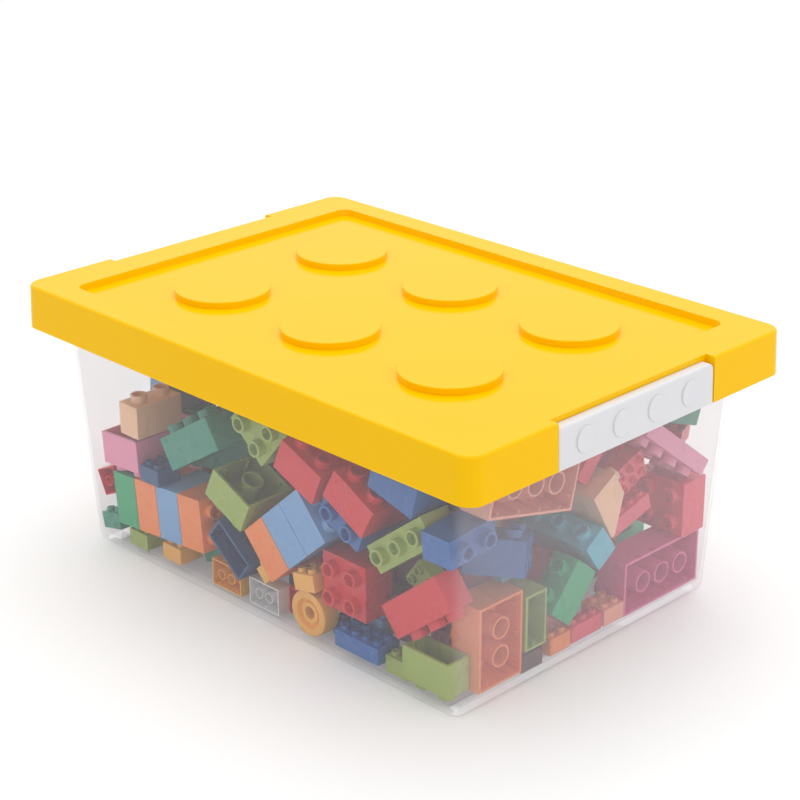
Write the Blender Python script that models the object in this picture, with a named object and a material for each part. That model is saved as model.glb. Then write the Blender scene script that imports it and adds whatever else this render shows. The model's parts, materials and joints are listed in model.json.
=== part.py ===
"""Storage box for toy building blocks: clear tub, studded lid, two end clips and the loose blocks inside.

X runs along the box, Y across it and Z up. The origin is the middle of the tub's underside.
"""
import math
import random

import bmesh
import bpy
from mathutils import Matrix, Vector
from mathutils.bvhtree import BVHTree
from mathutils.geometry import tessellate_polygon

MM = 0.001

# Running gap between pieces that touch or slide on each other.
GAP = 0.3 * MM
# How far a cutter runs past what it cuts.
OVERRUN = 2.0 * MM

# Whole box, closed.
BOX_HEIGHT = 157.0 * MM
LID_LENGTH = 347.0 * MM
LID_WIDTH = 241.5 * MM

# Lid.
LID_WALL = 2.0 * MM
LID_CORNER_RADIUS = 10.0 * MM
LID_EDGE_RADIUS = 1.6 * MM
SKIRT_HEIGHT = 25.0 * MM
SKIRT_FLARE = 0.7 * MM
END_BORDER = 26.0 * MM
SIDE_BORDER = 16.6 * MM
PANEL_DEPTH = 3.8 * MM
PANEL_CORNER_RADIUS = 6.0 * MM
PANEL_WALL_LEAN = 0.8 * MM
STUD_RADIUS = 26.8 * MM
STUD_EDGE_RADIUS = 0.6 * MM
STUD_PITCH_X = 88.4 * MM
STUD_PITCH_Y = 91.6 * MM
STUDS_ALONG = 3
STUDS_ACROSS = 2

# Notch in each end of the lid, where a clip lies.
NOTCH_LENGTH = 120.8 * MM
NOTCH_DEPTH = 5.9 * MM
NOTCH_STEP = 5.3 * MM
LEDGE_WIDTH = 3.2 * MM
LEDGE_FALL = 0.8 * MM

# Tub.
TUB_END_INSET = 26.2 * MM
TUB_SIDE_INSET = 19.35 * MM
TUB_DRAFT = 0.0506
TUB_WALL = 2.0 * MM
TUB_FLOOR = 2.2 * MM
TUB_CORNER_RADIUS = 8.0 * MM
TUB_BASE_RADIUS = 4.0 * MM
FOOT_HEIGHT = 1.6 * MM
FOOT_WIDTH = 9.0 * MM
RIM_HEIGHT = 5.6 * MM
FLANGE_THICKNESS = 2.0 * MM
FLANGE_LIP = 5.0 * MM
GUSSET_REACH = 6.0 * MM
GUSSET_THICKNESS = 1.6 * MM
GUSSET_BELOW_SKIRT = 10.0 * MM

# Clip and its hinge.
CLIP_THICKNESS = 2.4 * MM
CLIP_DROP = 3.0 * MM
CLIP_CORNER_RADIUS = 4.0 * MM
CLIP_EDGE_RADIUS = 1.4 * MM
CLIP_RETURN = 1.8 * MM
DOT_RADIUS = 7.0 * MM
DOT_HEIGHT = 0.6 * MM
DOT_PITCH = 27.0 * MM
DOT_COUNT = 4
PIN_RADIUS = 2.0 * MM
HINGE_BOSS_RADIUS = 4.0 * MM
HINGE_HEIGHT_OVER_SKIRT = 4.5 * MM
HINGE_INSET = 5.2 * MM
EAR_THICKNESS = 3.0 * MM
LUG_THICKNESS = 2.5 * MM

# Toy bricks: one module is the pitch of their studs.
MODULE = 15.9 * MM
BRICK_HEIGHT = 19.2 * MM
PLATE_HEIGHT = 9.6 * MM
BRICK_WALL = 1.5 * MM
BRICK_ROOF = 1.8 * MM
BRICK_STUD_RADIUS = 4.7 * MM
BRICK_STUD_HEIGHT = 4.5 * MM
BRICK_TUBE_RADIUS = 6.2 * MM
BRICK_TUBE_WALL = 1.2 * MM
SLOPE_LIP = 3.0 * MM
WHEEL_RADIUS = 13.2 * MM
WHEEL_WIDTH = 11.0 * MM
WHEEL_BORE = 3.6 * MM
WHEEL_DISH = 3.0 * MM
WHEEL_TYRE = 4.5 * MM
# How large the small bricks are, against the large ones.
SMALL_SHARE = 0.503

# How the pile of bricks is laid. A brick looks for room round its place: down, up, sideways and inwards.
FALL_STEP = 2.0 * MM
DEPTH_STEP = 4.0 * MM
SEARCH_DOWN = 12.0 * MM
SEARCH_UP = 40.0 * MM
SEARCH_SIDEWAYS = 8.0 * MM
SEARCH_INWARDS = 36.0 * MM
# What a step sideways or inwards costs, where a step up or down costs 1.
SIDEWAYS_COST = 0.6
INWARDS_COST = 2.5
# Then it comes to rest: the smallest step, and how far it may slip down between its neighbours.
REST_STEP = 0.1 * MM
SLIP = 1.5 * MM
PILE_TOP_ROOM = 4.0 * MM
LAY_ROUNDS = 2
TOWER_SEED = 7

# Faces round a quarter turn of a corner, and round the turned shapes.
CORNER_STEPS = 5
STUD_SIDES = 24
DOT_SIDES = 16
PIN_SIDES = 14
BRICK_STUD_SIDES = 8
TOWER_STUD_SIDES = 6
WHEEL_SIDES = 16


def clear_scene():
    for item in list(bpy.data.objects):
        bpy.data.objects.remove(item, do_unlink=True)


def plastic(name, colour, roughness, alpha=1.0):
    material = bpy.data.materials.new(name)
    material.use_nodes = True
    shader = material.node_tree.nodes["Principled BSDF"]
    shader.inputs["Base Color"].default_value = (*colour, 1.0)
    shader.inputs["Roughness"].default_value = roughness
    shader.inputs["Metallic"].default_value = 0.0
    shader.inputs["Alpha"].default_value = alpha
    material.diffuse_color = (*colour, alpha)
    return material


def add_object(name, mesh_builder, material):
    mesh = bpy.data.meshes.new(name)
    mesh_builder.to_mesh(mesh)
    mesh_builder.free()
    item = bpy.data.objects.new(name, mesh)
    bpy.context.collection.objects.link(item)
    if material:
        mesh.materials.append(material)
    return item


def smooth(item, angle=35.0):
    item.data.shade_smooth()
    item.data.set_sharp_from_angle(angle=math.radians(angle))


def rounded_rectangle(half_x, half_y, radius, steps=CORNER_STEPS):
    """Points round a rectangle with round corners, counter-clockwise from the +X side."""
    points = []
    for quarter, (side_x, side_y) in enumerate(((1, 1), (-1, 1), (-1, -1), (1, -1))):
        centre = Vector((side_x * (half_x - radius), side_y * (half_y - radius)))
        for step in range(steps + 1):
            turn = math.pi / 2 * (quarter + step / steps)
            points.append(centre + Vector((math.cos(turn), math.sin(turn))) * radius)
    return points


def ring_shell(rings):
    """A closed body from rings of equal count: a band from each to the next, and a cap on both ends."""
    builder = bmesh.new()
    loops = []
    for outline, height in rings:
        loops.append([builder.verts.new((point.x, point.y, height)) for point in outline])
    count = len(loops[0])
    for lower, upper in zip(loops, loops[1:]):
        for index in range(count):
            following = (index + 1) % count
            builder.faces.new((lower[index], lower[following], upper[following], upper[index]))
    builder.faces.new(list(reversed(loops[0])))
    builder.faces.new(loops[-1])
    bmesh.ops.recalc_face_normals(builder, faces=builder.faces)
    return builder


def box(low, high):
    builder = bmesh.new()
    bmesh.ops.create_cube(builder, size=1.0)
    for vert in builder.verts:
        for axis in range(3):
            vert.co[axis] = low[axis] if vert.co[axis] < 0 else high[axis]
    return builder


def prism_along_y(profile, low_y, high_y):
    """An XZ outline drawn out along Y."""
    builder = bmesh.new()
    near = [builder.verts.new((x, low_y, z)) for x, z in profile]
    far = [builder.verts.new((x, high_y, z)) for x, z in profile]
    count = len(profile)
    for index in range(count):
        following = (index + 1) % count
        builder.faces.new((near[index], near[following], far[following], far[index]))
    builder.faces.new(list(reversed(near)))
    builder.faces.new(far)
    bmesh.ops.recalc_face_normals(builder, faces=builder.faces)
    return builder


def cylinder(radius, low, high, centre, axis="Z", sides=STUD_SIDES):
    """A round bar on centre, from low to high along its axis."""
    builder = bmesh.new()
    bmesh.ops.create_cone(
        builder, cap_ends=True, segments=sides, radius1=radius, radius2=radius, depth=high - low
    )
    for vert in builder.verts:
        along = vert.co.z + (low + high) / 2
        if axis == "Z":
            vert.co = Vector((centre[0] + vert.co.x, centre[1] + vert.co.y, along))
        elif axis == "Y":
            vert.co = Vector((centre[0] + vert.co.x, along, centre[1] - vert.co.y))
        else:
            vert.co = Vector((along, centre[0] + vert.co.x, centre[1] + vert.co.y))
    bmesh.ops.recalc_face_normals(builder, faces=builder.faces)
    return builder


def combine(item, tool_builder, operation):
    """Joins a tool to the item, or cuts the item with it, and keeps the result."""
    tool = add_object("tool", tool_builder, None)
    tool.hide_render = True
    tool.display_type = "WIRE"
    modifier = item.modifiers.new(operation, "BOOLEAN")
    modifier.operation = operation
    modifier.solver = "EXACT"
    modifier.object = tool
    graph = bpy.context.evaluated_depsgraph_get()
    result = bpy.data.meshes.new_from_object(item.evaluated_get(graph))
    item.modifiers.remove(modifier)
    item.data = result
    bpy.data.objects.remove(tool, do_unlink=True)


# Heights that several pieces share.
SKIRT_BOTTOM = BOX_HEIGHT - SKIRT_HEIGHT
BORDER_UNDERSIDE = BOX_HEIGHT - LID_WALL
RIM_TOP = BORDER_UNDERSIDE - GAP
FLANGE_TOP = RIM_TOP - RIM_HEIGHT
FLANGE_UNDERSIDE = FLANGE_TOP - FLANGE_THICKNESS
LEDGE_TOP = BOX_HEIGHT - NOTCH_STEP
LEDGE_UNDERSIDE = LEDGE_TOP - LID_WALL
NOTCH_FACE = LID_LENGTH / 2 - NOTCH_DEPTH
TUB_BASE_LENGTH = LID_LENGTH - 2 * TUB_END_INSET
TUB_BASE_WIDTH = LID_WIDTH - 2 * TUB_SIDE_INSET
LEDGE_TIP = NOTCH_FACE + LEDGE_WIDTH
HINGE_X = LID_LENGTH / 2 - HINGE_INSET - CLIP_THICKNESS
HINGE_Z = SKIRT_BOTTOM + HINGE_HEIGHT_OVER_SKIRT
CLIP_HALF = NOTCH_LENGTH / 2 - GAP


def tub_half(length, height):
    """Half of the tub's outer length or width at a height."""
    return length / 2 + height * TUB_DRAFT


def tub_ring(height, inset):
    return (
        rounded_rectangle(
            tub_half(TUB_BASE_LENGTH, height) - inset,
            tub_half(TUB_BASE_WIDTH, height) - inset,
            max(TUB_CORNER_RADIUS - inset, TUB_WALL),
        ),
        height,
    )


def make_tub(material):
    flange_x = NOTCH_FACE - LID_WALL - GAP
    flange_y = LID_WIDTH / 2 - LID_WALL - 3 * GAP
    flange_radius = TUB_CORNER_RADIUS + flange_y - tub_half(TUB_BASE_WIDTH, FLANGE_TOP)
    lip_bottom = FLANGE_TOP - FLANGE_LIP

    def flange_ring(height, inset):
        outline = rounded_rectangle(flange_x - inset, flange_y - inset, flange_radius - inset)
        return (outline, height)

    rings = [tub_ring(height, FOOT_WIDTH + TUB_BASE_RADIUS) for height in (FOOT_HEIGHT, 0.0)]
    for step in range(CORNER_STEPS):
        turn = math.pi / 2 * step / (CORNER_STEPS - 1)
        height = TUB_BASE_RADIUS * (1 - math.cos(turn))
        rings.append(tub_ring(height, TUB_BASE_RADIUS * (1 - math.sin(turn))))
    rings.append(tub_ring(FLANGE_UNDERSIDE, 0.0))
    rings.append(flange_ring(FLANGE_UNDERSIDE, FLANGE_THICKNESS))
    rings.append(flange_ring(lip_bottom, FLANGE_THICKNESS))
    rings.append(flange_ring(lip_bottom, 0.0))
    rings.append(flange_ring(FLANGE_TOP, 0.0))
    rings.append(tub_ring(FLANGE_TOP, 0.0))
    rings.append(tub_ring(RIM_TOP, 0.0))
    rings.append(tub_ring(RIM_TOP, TUB_WALL))
    floor_top = FOOT_HEIGHT + TUB_FLOOR
    inner_radius = TUB_BASE_RADIUS
    for step in range(CORNER_STEPS):
        turn = math.pi / 2 * step / (CORNER_STEPS - 1)
        height = floor_top + inner_radius * (1 - math.sin(turn))
        rings.append(tub_ring(height, TUB_WALL + inner_radius * (1 - math.cos(turn))))
    tub = add_object("tub", ring_shell(rings), material)

    corner_x = tub_half(TUB_BASE_LENGTH, SKIRT_BOTTOM) - TUB_CORNER_RADIUS
    corner_y = tub_half(TUB_BASE_WIDTH, SKIRT_BOTTOM) - TUB_CORNER_RADIUS
    for side_x in (-1, 1):
        for side_y in (-1, 1):
            combine(tub, gusset(side_x * corner_x, side_y * corner_y, side_x, side_y), "UNION")
    for side in (-1, 1):
        for end in (-1, 1):
            combine(tub, ear(side, end), "UNION")
    for side in (-1, 1):
        hole = cylinder(
            PIN_RADIUS + GAP, -CLIP_HALF, CLIP_HALF, (side * HINGE_X, HINGE_Z), axis="Y", sides=PIN_SIDES
        )
        combine(tub, hole, "DIFFERENCE")
    smooth(tub)
    return tub


def gusset(centre_x, centre_y, side_x, side_y):
    """A thin corner rib under the flange, on the diagonal, that dies into the wall below the skirt."""
    along = Vector((side_x, side_y, 0)).normalized()
    across = Vector((-along.y, along.x, 0)) * GUSSET_THICKNESS / 2
    inner = TUB_CORNER_RADIUS - TUB_WALL / 2
    bottom = SKIRT_BOTTOM - GUSSET_BELOW_SKIRT
    profile = (
        (inner, bottom),
        (TUB_CORNER_RADIUS + TUB_DRAFT * GUSSET_REACH, bottom),
        (TUB_CORNER_RADIUS + GUSSET_REACH, bottom + GUSSET_REACH),
        (TUB_CORNER_RADIUS + GUSSET_REACH, FLANGE_UNDERSIDE + FLANGE_THICKNESS / 2),
        (inner, FLANGE_UNDERSIDE + FLANGE_THICKNESS / 2),
    )
    builder = bmesh.new()
    sides = []
    for sign in (-1, 1):
        verts = []
        for reach, height in profile:
            place = Vector((centre_x, centre_y, height)) + along * reach + across * sign
            verts.append(builder.verts.new(place))
        sides.append(verts)
    count = len(profile)
    for index in range(count):
        following = (index + 1) % count
        near, far = sides
        builder.faces.new((near[index], near[following], far[following], far[index]))
    builder.faces.new(list(reversed(sides[0])))
    builder.faces.new(sides[1])
    bmesh.ops.recalc_face_normals(builder, faces=builder.faces)
    return builder


def ear(side, end):
    """A hinge ear under the end flange, with a round nose about the clip's pin."""
    outer = CLIP_HALF - CLIP_RETURN - 2 * GAP - LUG_THICKNESS
    inner = outer - EAR_THICKNESS
    top = FLANGE_UNDERSIDE + FLANGE_THICKNESS / 2
    profile = [(HINGE_X - 2 * HINGE_BOSS_RADIUS, top)]
    for step in range(PIN_SIDES // 2 + 1):
        turn = math.pi + math.pi * step / (PIN_SIDES // 2)
        profile.append(
            (HINGE_X + HINGE_BOSS_RADIUS * math.cos(turn), HINGE_Z + HINGE_BOSS_RADIUS * math.sin(turn))
        )
    profile.append((HINGE_X + HINGE_BOSS_RADIUS, HINGE_Z + HINGE_BOSS_RADIUS))
    profile.append((NOTCH_FACE - LID_WALL - GAP - FLANGE_THICKNESS / 2, top))
    profile = [(side * x, z) for x, z in profile]
    low, high = sorted((end * inner, end * outer))
    return prism_along_y(profile, low, high)


def make_lid(material):
    half_x = LID_LENGTH / 2
    half_y = LID_WIDTH / 2
    panel_x = half_x - END_BORDER
    panel_y = half_y - SIDE_BORDER
    panel_top = BOX_HEIGHT - PANEL_DEPTH
    panel_underside = panel_top - LID_WALL

    def outer(height, inset):
        flare = SKIRT_FLARE * (BOX_HEIGHT - height) / SKIRT_HEIGHT
        outline = rounded_rectangle(
            half_x - inset + flare, half_y - inset + flare, LID_CORNER_RADIUS - inset + flare
        )
        return (outline, height)

    def inner(height, grow):
        outline = rounded_rectangle(panel_x + grow, panel_y + grow, PANEL_CORNER_RADIUS + grow)
        return (outline, height)

    rings = [inner(panel_top, -PANEL_WALL_LEAN), inner(BOX_HEIGHT, 0.0)]
    for step in range(CORNER_STEPS - 1):
        turn = math.pi / 2 * step / (CORNER_STEPS - 2)
        inset = LID_EDGE_RADIUS * (1 - math.sin(turn))
        rings.append(outer(BOX_HEIGHT - LID_EDGE_RADIUS * (1 - math.cos(turn)), inset))
    rings.append(outer(SKIRT_BOTTOM, 0.0))
    rings.append(outer(SKIRT_BOTTOM, LID_WALL))
    rings.append(outer(BORDER_UNDERSIDE, LID_WALL))
    rings.append(inner(BORDER_UNDERSIDE, LID_WALL))
    rings.append(inner(panel_underside, LID_WALL - PANEL_WALL_LEAN))
    lid = add_object("lid", ring_shell(rings), material)

    for column in range(STUDS_ALONG):
        for row in range(STUDS_ACROSS):
            x = (column - (STUDS_ALONG - 1) / 2) * STUD_PITCH_X
            y = (row - (STUDS_ACROSS - 1) / 2) * STUD_PITCH_Y
            stud = cylinder(STUD_RADIUS, panel_top - LID_WALL / 2, BOX_HEIGHT, (x, y))
            top_edges = [
                edge for edge in stud.edges if all(vert.co.z > panel_top for vert in edge.verts)
            ]
            bmesh.ops.bevel(
                stud, geom=top_edges, offset=STUD_EDGE_RADIUS, segments=1, profile=0.5, affect="EDGES"
            )
            combine(lid, stud, "UNION")
            hollow = cylinder(
                STUD_RADIUS - LID_WALL, panel_underside - OVERRUN, BOX_HEIGHT - LID_WALL, (x, y)
            )
            combine(lid, hollow, "DIFFERENCE")

    for side in (-1, 1):
        combine(lid, notch_liner(side), "UNION")
        combine(lid, notch_cutter(side), "DIFFERENCE")
    smooth(lid)
    return lid


def notch_liner(side):
    """The wall round the notch: a step behind the clip, a ledge under its hook and a return at each side."""
    reach = NOTCH_LENGTH / 2 + LID_WALL
    outside = LID_LENGTH / 2 - LID_WALL / 2
    profile = [
        (side * (NOTCH_FACE - LID_WALL), BORDER_UNDERSIDE + LID_WALL / 2),
        (side * (NOTCH_FACE - LID_WALL), SKIRT_BOTTOM + LID_WALL),
        (side * outside, SKIRT_BOTTOM + LID_WALL),
        (side * outside, BORDER_UNDERSIDE + LID_WALL / 2),
    ]
    return prism_along_y(profile, -reach, reach)


def notch_cutter(side):
    half = NOTCH_LENGTH / 2
    far = LID_LENGTH / 2 + SKIRT_FLARE + OVERRUN
    above = BOX_HEIGHT + OVERRUN
    below = SKIRT_BOTTOM - OVERRUN
    profile = [
        (side * NOTCH_FACE, above),
        (side * NOTCH_FACE, LEDGE_TOP),
        (side * LEDGE_TIP, LEDGE_TOP - LEDGE_FALL),
        (side * LEDGE_TIP, LEDGE_UNDERSIDE),
        (side * (NOTCH_FACE - LID_WALL - OVERRUN), LEDGE_UNDERSIDE),
        (side * (NOTCH_FACE - LID_WALL - OVERRUN), below),
        (side * far, below),
        (side * far, above),
    ]
    return prism_along_y(profile, -half, half)


def make_clip(name, side, material):
    """A clip in its closed place; side is +1 at the +X end and -1 at the other."""
    outside_top = LID_LENGTH / 2
    outside_bottom = LID_LENGTH / 2 + SKIRT_FLARE
    inside = LID_LENGTH / 2 - CLIP_THICKNESS
    top = BOX_HEIGHT - CLIP_DROP
    hook_end = NOTCH_FACE + GAP
    hook_under = LEDGE_TOP + GAP
    profile = [(side * inside, SKIRT_BOTTOM), (side * outside_bottom, SKIRT_BOTTOM)]
    for step in range(CORNER_STEPS):
        turn = math.pi / 2 * step / (CORNER_STEPS - 1)
        x = outside_top - CLIP_EDGE_RADIUS * (1 - math.cos(turn))
        z = top - CLIP_EDGE_RADIUS * (1 - math.sin(turn))
        profile.append((side * x, z))
    profile.append((side * hook_end, top))
    profile.append((side * hook_end, hook_under))
    profile.append((side * inside, hook_under - LEDGE_FALL))
    clip = add_object(name, prism_along_y(profile, -CLIP_HALF, CLIP_HALF), material)
    for end in (-1, 1):
        combine(clip, corner_trim(side, end), "DIFFERENCE")
        combine(clip, side_return(side, end), "UNION")
        combine(clip, hinge_lug(side, end), "UNION")
        combine(clip, hinge_pin(side, end), "UNION")
    for index in range(DOT_COUNT):
        y = (index - (DOT_COUNT - 1) / 2) * DOT_PITCH
        z = (SKIRT_BOTTOM + top) / 2
        faces = sorted((side * (outside_top - CLIP_THICKNESS / 2), side * (outside_bottom + DOT_HEIGHT)))
        dot = cylinder(DOT_RADIUS, faces[0], faces[1], (y, z), axis="X", sides=DOT_SIDES)
        combine(clip, dot, "UNION")
    smooth(clip)
    return clip


def corner_trim(side, end):
    """What rounds one upper corner of a clip's face."""
    top = BOX_HEIGHT - CLIP_DROP
    radius = CLIP_CORNER_RADIUS
    centre_y = end * (CLIP_HALF - radius)
    centre_z = top - radius
    outline = [(end * (CLIP_HALF + OVERRUN), centre_z), (end * (CLIP_HALF + OVERRUN), top + OVERRUN)]
    outline.append((centre_y, top + OVERRUN))
    for step in range(CORNER_STEPS + 1):
        turn = math.pi / 2 * (1 - step / CORNER_STEPS)
        outline.append((centre_y + end * radius * math.cos(turn), centre_z + radius * math.sin(turn)))
    low = side * (NOTCH_FACE - OVERRUN)
    high = side * (LID_LENGTH / 2 + SKIRT_FLARE + OVERRUN)
    builder = bmesh.new()
    near = [builder.verts.new((low, y, z)) for y, z in outline]
    far = [builder.verts.new((high, y, z)) for y, z in outline]
    count = len(outline)
    for index in range(count):
        following = (index + 1) % count
        builder.faces.new((near[index], near[following], far[following], far[index]))
    builder.faces.new(list(reversed(near)))
    builder.faces.new(far)
    bmesh.ops.recalc_face_normals(builder, faces=builder.faces)
    return builder


def side_return(side, end):
    """A rib along each side edge of a clip, behind its face."""
    inside = LID_LENGTH / 2 - CLIP_THICKNESS
    xs = sorted((side * (inside - HINGE_INSET + PIN_RADIUS), side * (inside + CLIP_THICKNESS / 2)))
    ys = sorted((end * CLIP_HALF, end * (CLIP_HALF - CLIP_RETURN)))
    top = LEDGE_UNDERSIDE - OVERRUN
    return box((xs[0], ys[0], SKIRT_BOTTOM), (xs[1], ys[1], top))


def hinge_lug(side, end):
    """The plate at the foot of a clip that carries a hinge pin."""
    outer = CLIP_HALF - CLIP_RETURN / 2
    inner = CLIP_HALF - CLIP_RETURN - LUG_THICKNESS
    plate = LID_LENGTH / 2 - CLIP_THICKNESS / 2
    profile = [(plate, HINGE_Z - HINGE_BOSS_RADIUS), (plate, HINGE_Z + HINGE_BOSS_RADIUS)]
    steps = PIN_SIDES // 2
    for step in range(steps + 1):
        turn = math.pi / 2 + math.pi * step / steps
        profile.append(
            (HINGE_X + HINGE_BOSS_RADIUS * math.cos(turn), HINGE_Z + HINGE_BOSS_RADIUS * math.sin(turn))
        )
    low, high = sorted((end * inner, end * outer))
    return prism_along_y([(side * x, z) for x, z in profile], low, high)


def hinge_pin(side, end):
    outer = CLIP_HALF - CLIP_RETURN - LUG_THICKNESS / 2
    inner = CLIP_HALF - CLIP_RETURN - LUG_THICKNESS - 3 * GAP - EAR_THICKNESS
    low, high = sorted((end * inner, end * outer))
    return cylinder(PIN_RADIUS, low, high, (side * HINGE_X, HINGE_Z), axis="Y", sides=PIN_SIDES)


def ring(builder, outline, height):
    return [builder.verts.new((x, y, height)) for x, y in outline]


def band(builder, lower, upper):
    """Side faces between two rings of equal count."""
    count = len(lower)
    for index in range(count):
        following = (index + 1) % count
        builder.faces.new((lower[index], lower[following], upper[following], upper[index]))


def fill(builder, outer, holes):
    """A flat face inside a ring, left open where the holes are."""
    loops = [outer, *holes]
    verts = [vert for loop in loops for vert in loop]
    for corners in tessellate_polygon([[vert.co for vert in loop] for loop in loops]):
        builder.faces.new([verts[corner] for corner in corners])


def rectangle(half_x, half_y):
    return [(half_x, half_y), (-half_x, half_y), (-half_x, -half_y), (half_x, -half_y)]


def circle(centre, radius, sides):
    turns = [2 * math.pi * (step + 0.5) / sides for step in range(sides)]
    return [(centre[0] + radius * math.cos(turn), centre[1] + radius * math.sin(turn)) for turn in turns]


def grid(along, across):
    """Centres of a grid of modules about the middle."""
    places = []
    for column in range(along):
        for row in range(across):
            places.append(((column - (along - 1) / 2) * MODULE, (row - (across - 1) / 2) * MODULE))
    return places


def add_studs(builder, places, height, sides=BRICK_STUD_SIDES):
    """Studs that stand on a face at a height; gives the rings of their feet."""
    feet = []
    for place in places:
        outline = circle(place, BRICK_STUD_RADIUS, sides)
        foot = ring(builder, outline, height)
        head = ring(builder, outline, height + BRICK_STUD_HEIGHT)
        band(builder, foot, head)
        builder.faces.new(head)
        feet.append(foot)
    return feet


def brick(along, across, height, tubes):
    """A brick open below, its middle at the origin, with the tubes that grip studs if tubes is true."""
    half_x, half_y = along * MODULE / 2, across * MODULE / 2
    low, high = -height / 2, height / 2
    builder = bmesh.new()
    base = ring(builder, rectangle(half_x, half_y), low)
    top = ring(builder, rectangle(half_x, half_y), high)
    band(builder, base, top)
    fill(builder, top, add_studs(builder, grid(along, across), high))
    mouth = ring(builder, rectangle(half_x - BRICK_WALL, half_y - BRICK_WALL), low)
    ceiling = ring(builder, rectangle(half_x - BRICK_WALL, half_y - BRICK_WALL), high - BRICK_ROOF)
    fill(builder, base, [mouth])
    band(builder, mouth, ceiling)
    roots = []
    if tubes:
        for place in grid(along - 1, across - 1):
            outer = circle(place, BRICK_TUBE_RADIUS, BRICK_STUD_SIDES)
            inner = circle(place, BRICK_TUBE_RADIUS - BRICK_TUBE_WALL, BRICK_STUD_SIDES)
            root, foot = ring(builder, outer, high - BRICK_ROOF), ring(builder, outer, low)
            bore, end = ring(builder, inner, low), ring(builder, inner, high - BRICK_ROOF)
            band(builder, root, foot)
            fill(builder, foot, [bore])
            band(builder, bore, end)
            builder.faces.new(end)
            roots.append(root)
    fill(builder, ceiling, roots)
    return builder


def shaped_brick(profile, top_edge, studs, across):
    """An XZ outline drawn out across the brick; its edge number top_edge carries the studs."""
    builder = bmesh.new()
    half = across * MODULE / 2
    near = [builder.verts.new((x, -half, z)) for x, z in profile]
    far = [builder.verts.new((x, half, z)) for x, z in profile]
    count = len(profile)
    for index in range(count):
        following = (index + 1) % count
        sides = [near[index], near[following], far[following], far[index]]
        if index == top_edge:
            fill(builder, sides, add_studs(builder, studs, near[index].co.z))
        else:
            builder.faces.new(sides)
    builder.faces.new(near)
    builder.faces.new(far)
    return builder


def slope_brick():
    """A roof brick: one row of studs, then a slope down to a lip."""
    half, low, high = MODULE, -BRICK_HEIGHT / 2, BRICK_HEIGHT / 2
    profile = [(-half, low), (half, low), (half, low + SLOPE_LIP), (0.0, high), (-half, high)]
    return shaped_brick(profile, 3, [(-MODULE / 2, -MODULE / 2), (-MODULE / 2, MODULE / 2)], 2)


def small(builder):
    """The same brick in the small format."""
    bmesh.ops.scale(builder, vec=(SMALL_SHARE, SMALL_SHARE, SMALL_SHARE), verts=builder.verts)
    return builder


def wheel():
    """A thick wheel with a dished face each side and a bore through its hub."""
    half = WHEEL_WIDTH / 2
    tread = WHEEL_RADIUS - WHEEL_TYRE
    hub = WHEEL_BORE + WHEEL_DISH
    profile = [
        (WHEEL_BORE, -half + WHEEL_DISH / 2),
        (hub, -half + WHEEL_DISH),
        (tread, -half + WHEEL_DISH),
        (tread + WHEEL_DISH / 2, -half),
        (WHEEL_RADIUS, -half + WHEEL_DISH / 2),
        (WHEEL_RADIUS, half - WHEEL_DISH / 2),
        (tread + WHEEL_DISH / 2, half),
        (tread, half - WHEEL_DISH),
        (hub, half - WHEEL_DISH),
        (WHEEL_BORE, half - WHEEL_DISH / 2),
    ]
    builder = bmesh.new()
    rings = [ring(builder, circle((0.0, 0.0), radius, WHEEL_SIDES), z) for radius, z in profile]
    for lower, upper in zip(rings, rings[1:] + rings[:1]):
        band(builder, lower, upper)
    return builder


def built_bricks(storeys):
    """Bricks clicked together: storeys holds, row by row, how many bricks high each square column stands."""
    builder = bmesh.new()
    verts = {}
    side = 2 * MODULE
    rows, columns = len(storeys), len(storeys[0])

    def corner(column, row, level):
        key = (column, row, level)
        if key not in verts:
            verts[key] = builder.verts.new(
                ((column - columns / 2) * side, (row - rows / 2) * side, level * BRICK_HEIGHT)
            )
        return verts[key]

    def height(column, row):
        return storeys[row][column] if 0 <= column < columns and 0 <= row < rows else 0

    for row in range(rows):
        for column in range(columns):
            square = [(column, row), (column + 1, row), (column + 1, row + 1), (column, row + 1)]
            top = height(column, row)
            if not top:
                continue
            middle_x = (column + 0.5 - columns / 2) * side
            middle_y = (row + 0.5 - rows / 2) * side
            studs = [(middle_x + x, middle_y + y) for x, y in grid(2, 2)]
            roof = [corner(x, y, top) for x, y in square]
            fill(builder, roof, add_studs(builder, studs, roof[0].co.z, TOWER_STUD_SIDES))
            builder.faces.new([corner(x, y, 0) for x, y in square])
            beside = [(column, row - 1), (column + 1, row), (column, row + 1), (column - 1, row)]
            for edge, neighbour in enumerate(beside):
                (ax, ay), (bx, by) = square[edge], square[(edge + 1) % 4]
                for level in range(height(*neighbour), top):
                    low = [corner(ax, ay, level), corner(bx, by, level)]
                    builder.faces.new(low + [corner(bx, by, level + 1), corner(ax, ay, level + 1)])
    bmesh.ops.recalc_face_normals(builder, faces=builder.faces)
    return builder


BRICK_KINDS = {
    "brick_2x2": lambda: brick(2, 2, BRICK_HEIGHT, False),
    "open_2x2": lambda: brick(2, 2, BRICK_HEIGHT, True),
    "open_2x3": lambda: brick(3, 2, BRICK_HEIGHT, True),
    "open_2x4": lambda: brick(4, 2, BRICK_HEIGHT, True),
    "brick_2x3": lambda: brick(3, 2, BRICK_HEIGHT, False),
    "brick_2x4": lambda: brick(4, 2, BRICK_HEIGHT, False),
    "brick_1x3": lambda: brick(3, 1, BRICK_HEIGHT, False),
    "brick_1x2": lambda: brick(2, 1, BRICK_HEIGHT, False),
    "plate_2x4": lambda: brick(4, 2, PLATE_HEIGHT, False),
    "plate_1x2": lambda: brick(2, 1, PLATE_HEIGHT, False),
    "small_2x2": lambda: small(brick(2, 2, BRICK_HEIGHT, True)),
    "small_2x3": lambda: small(brick(3, 2, BRICK_HEIGHT, True)),
    "small_2x4": lambda: small(brick(4, 2, BRICK_HEIGHT, False)),
    "slope": slope_brick,
    "wheel": wheel,
}

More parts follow.
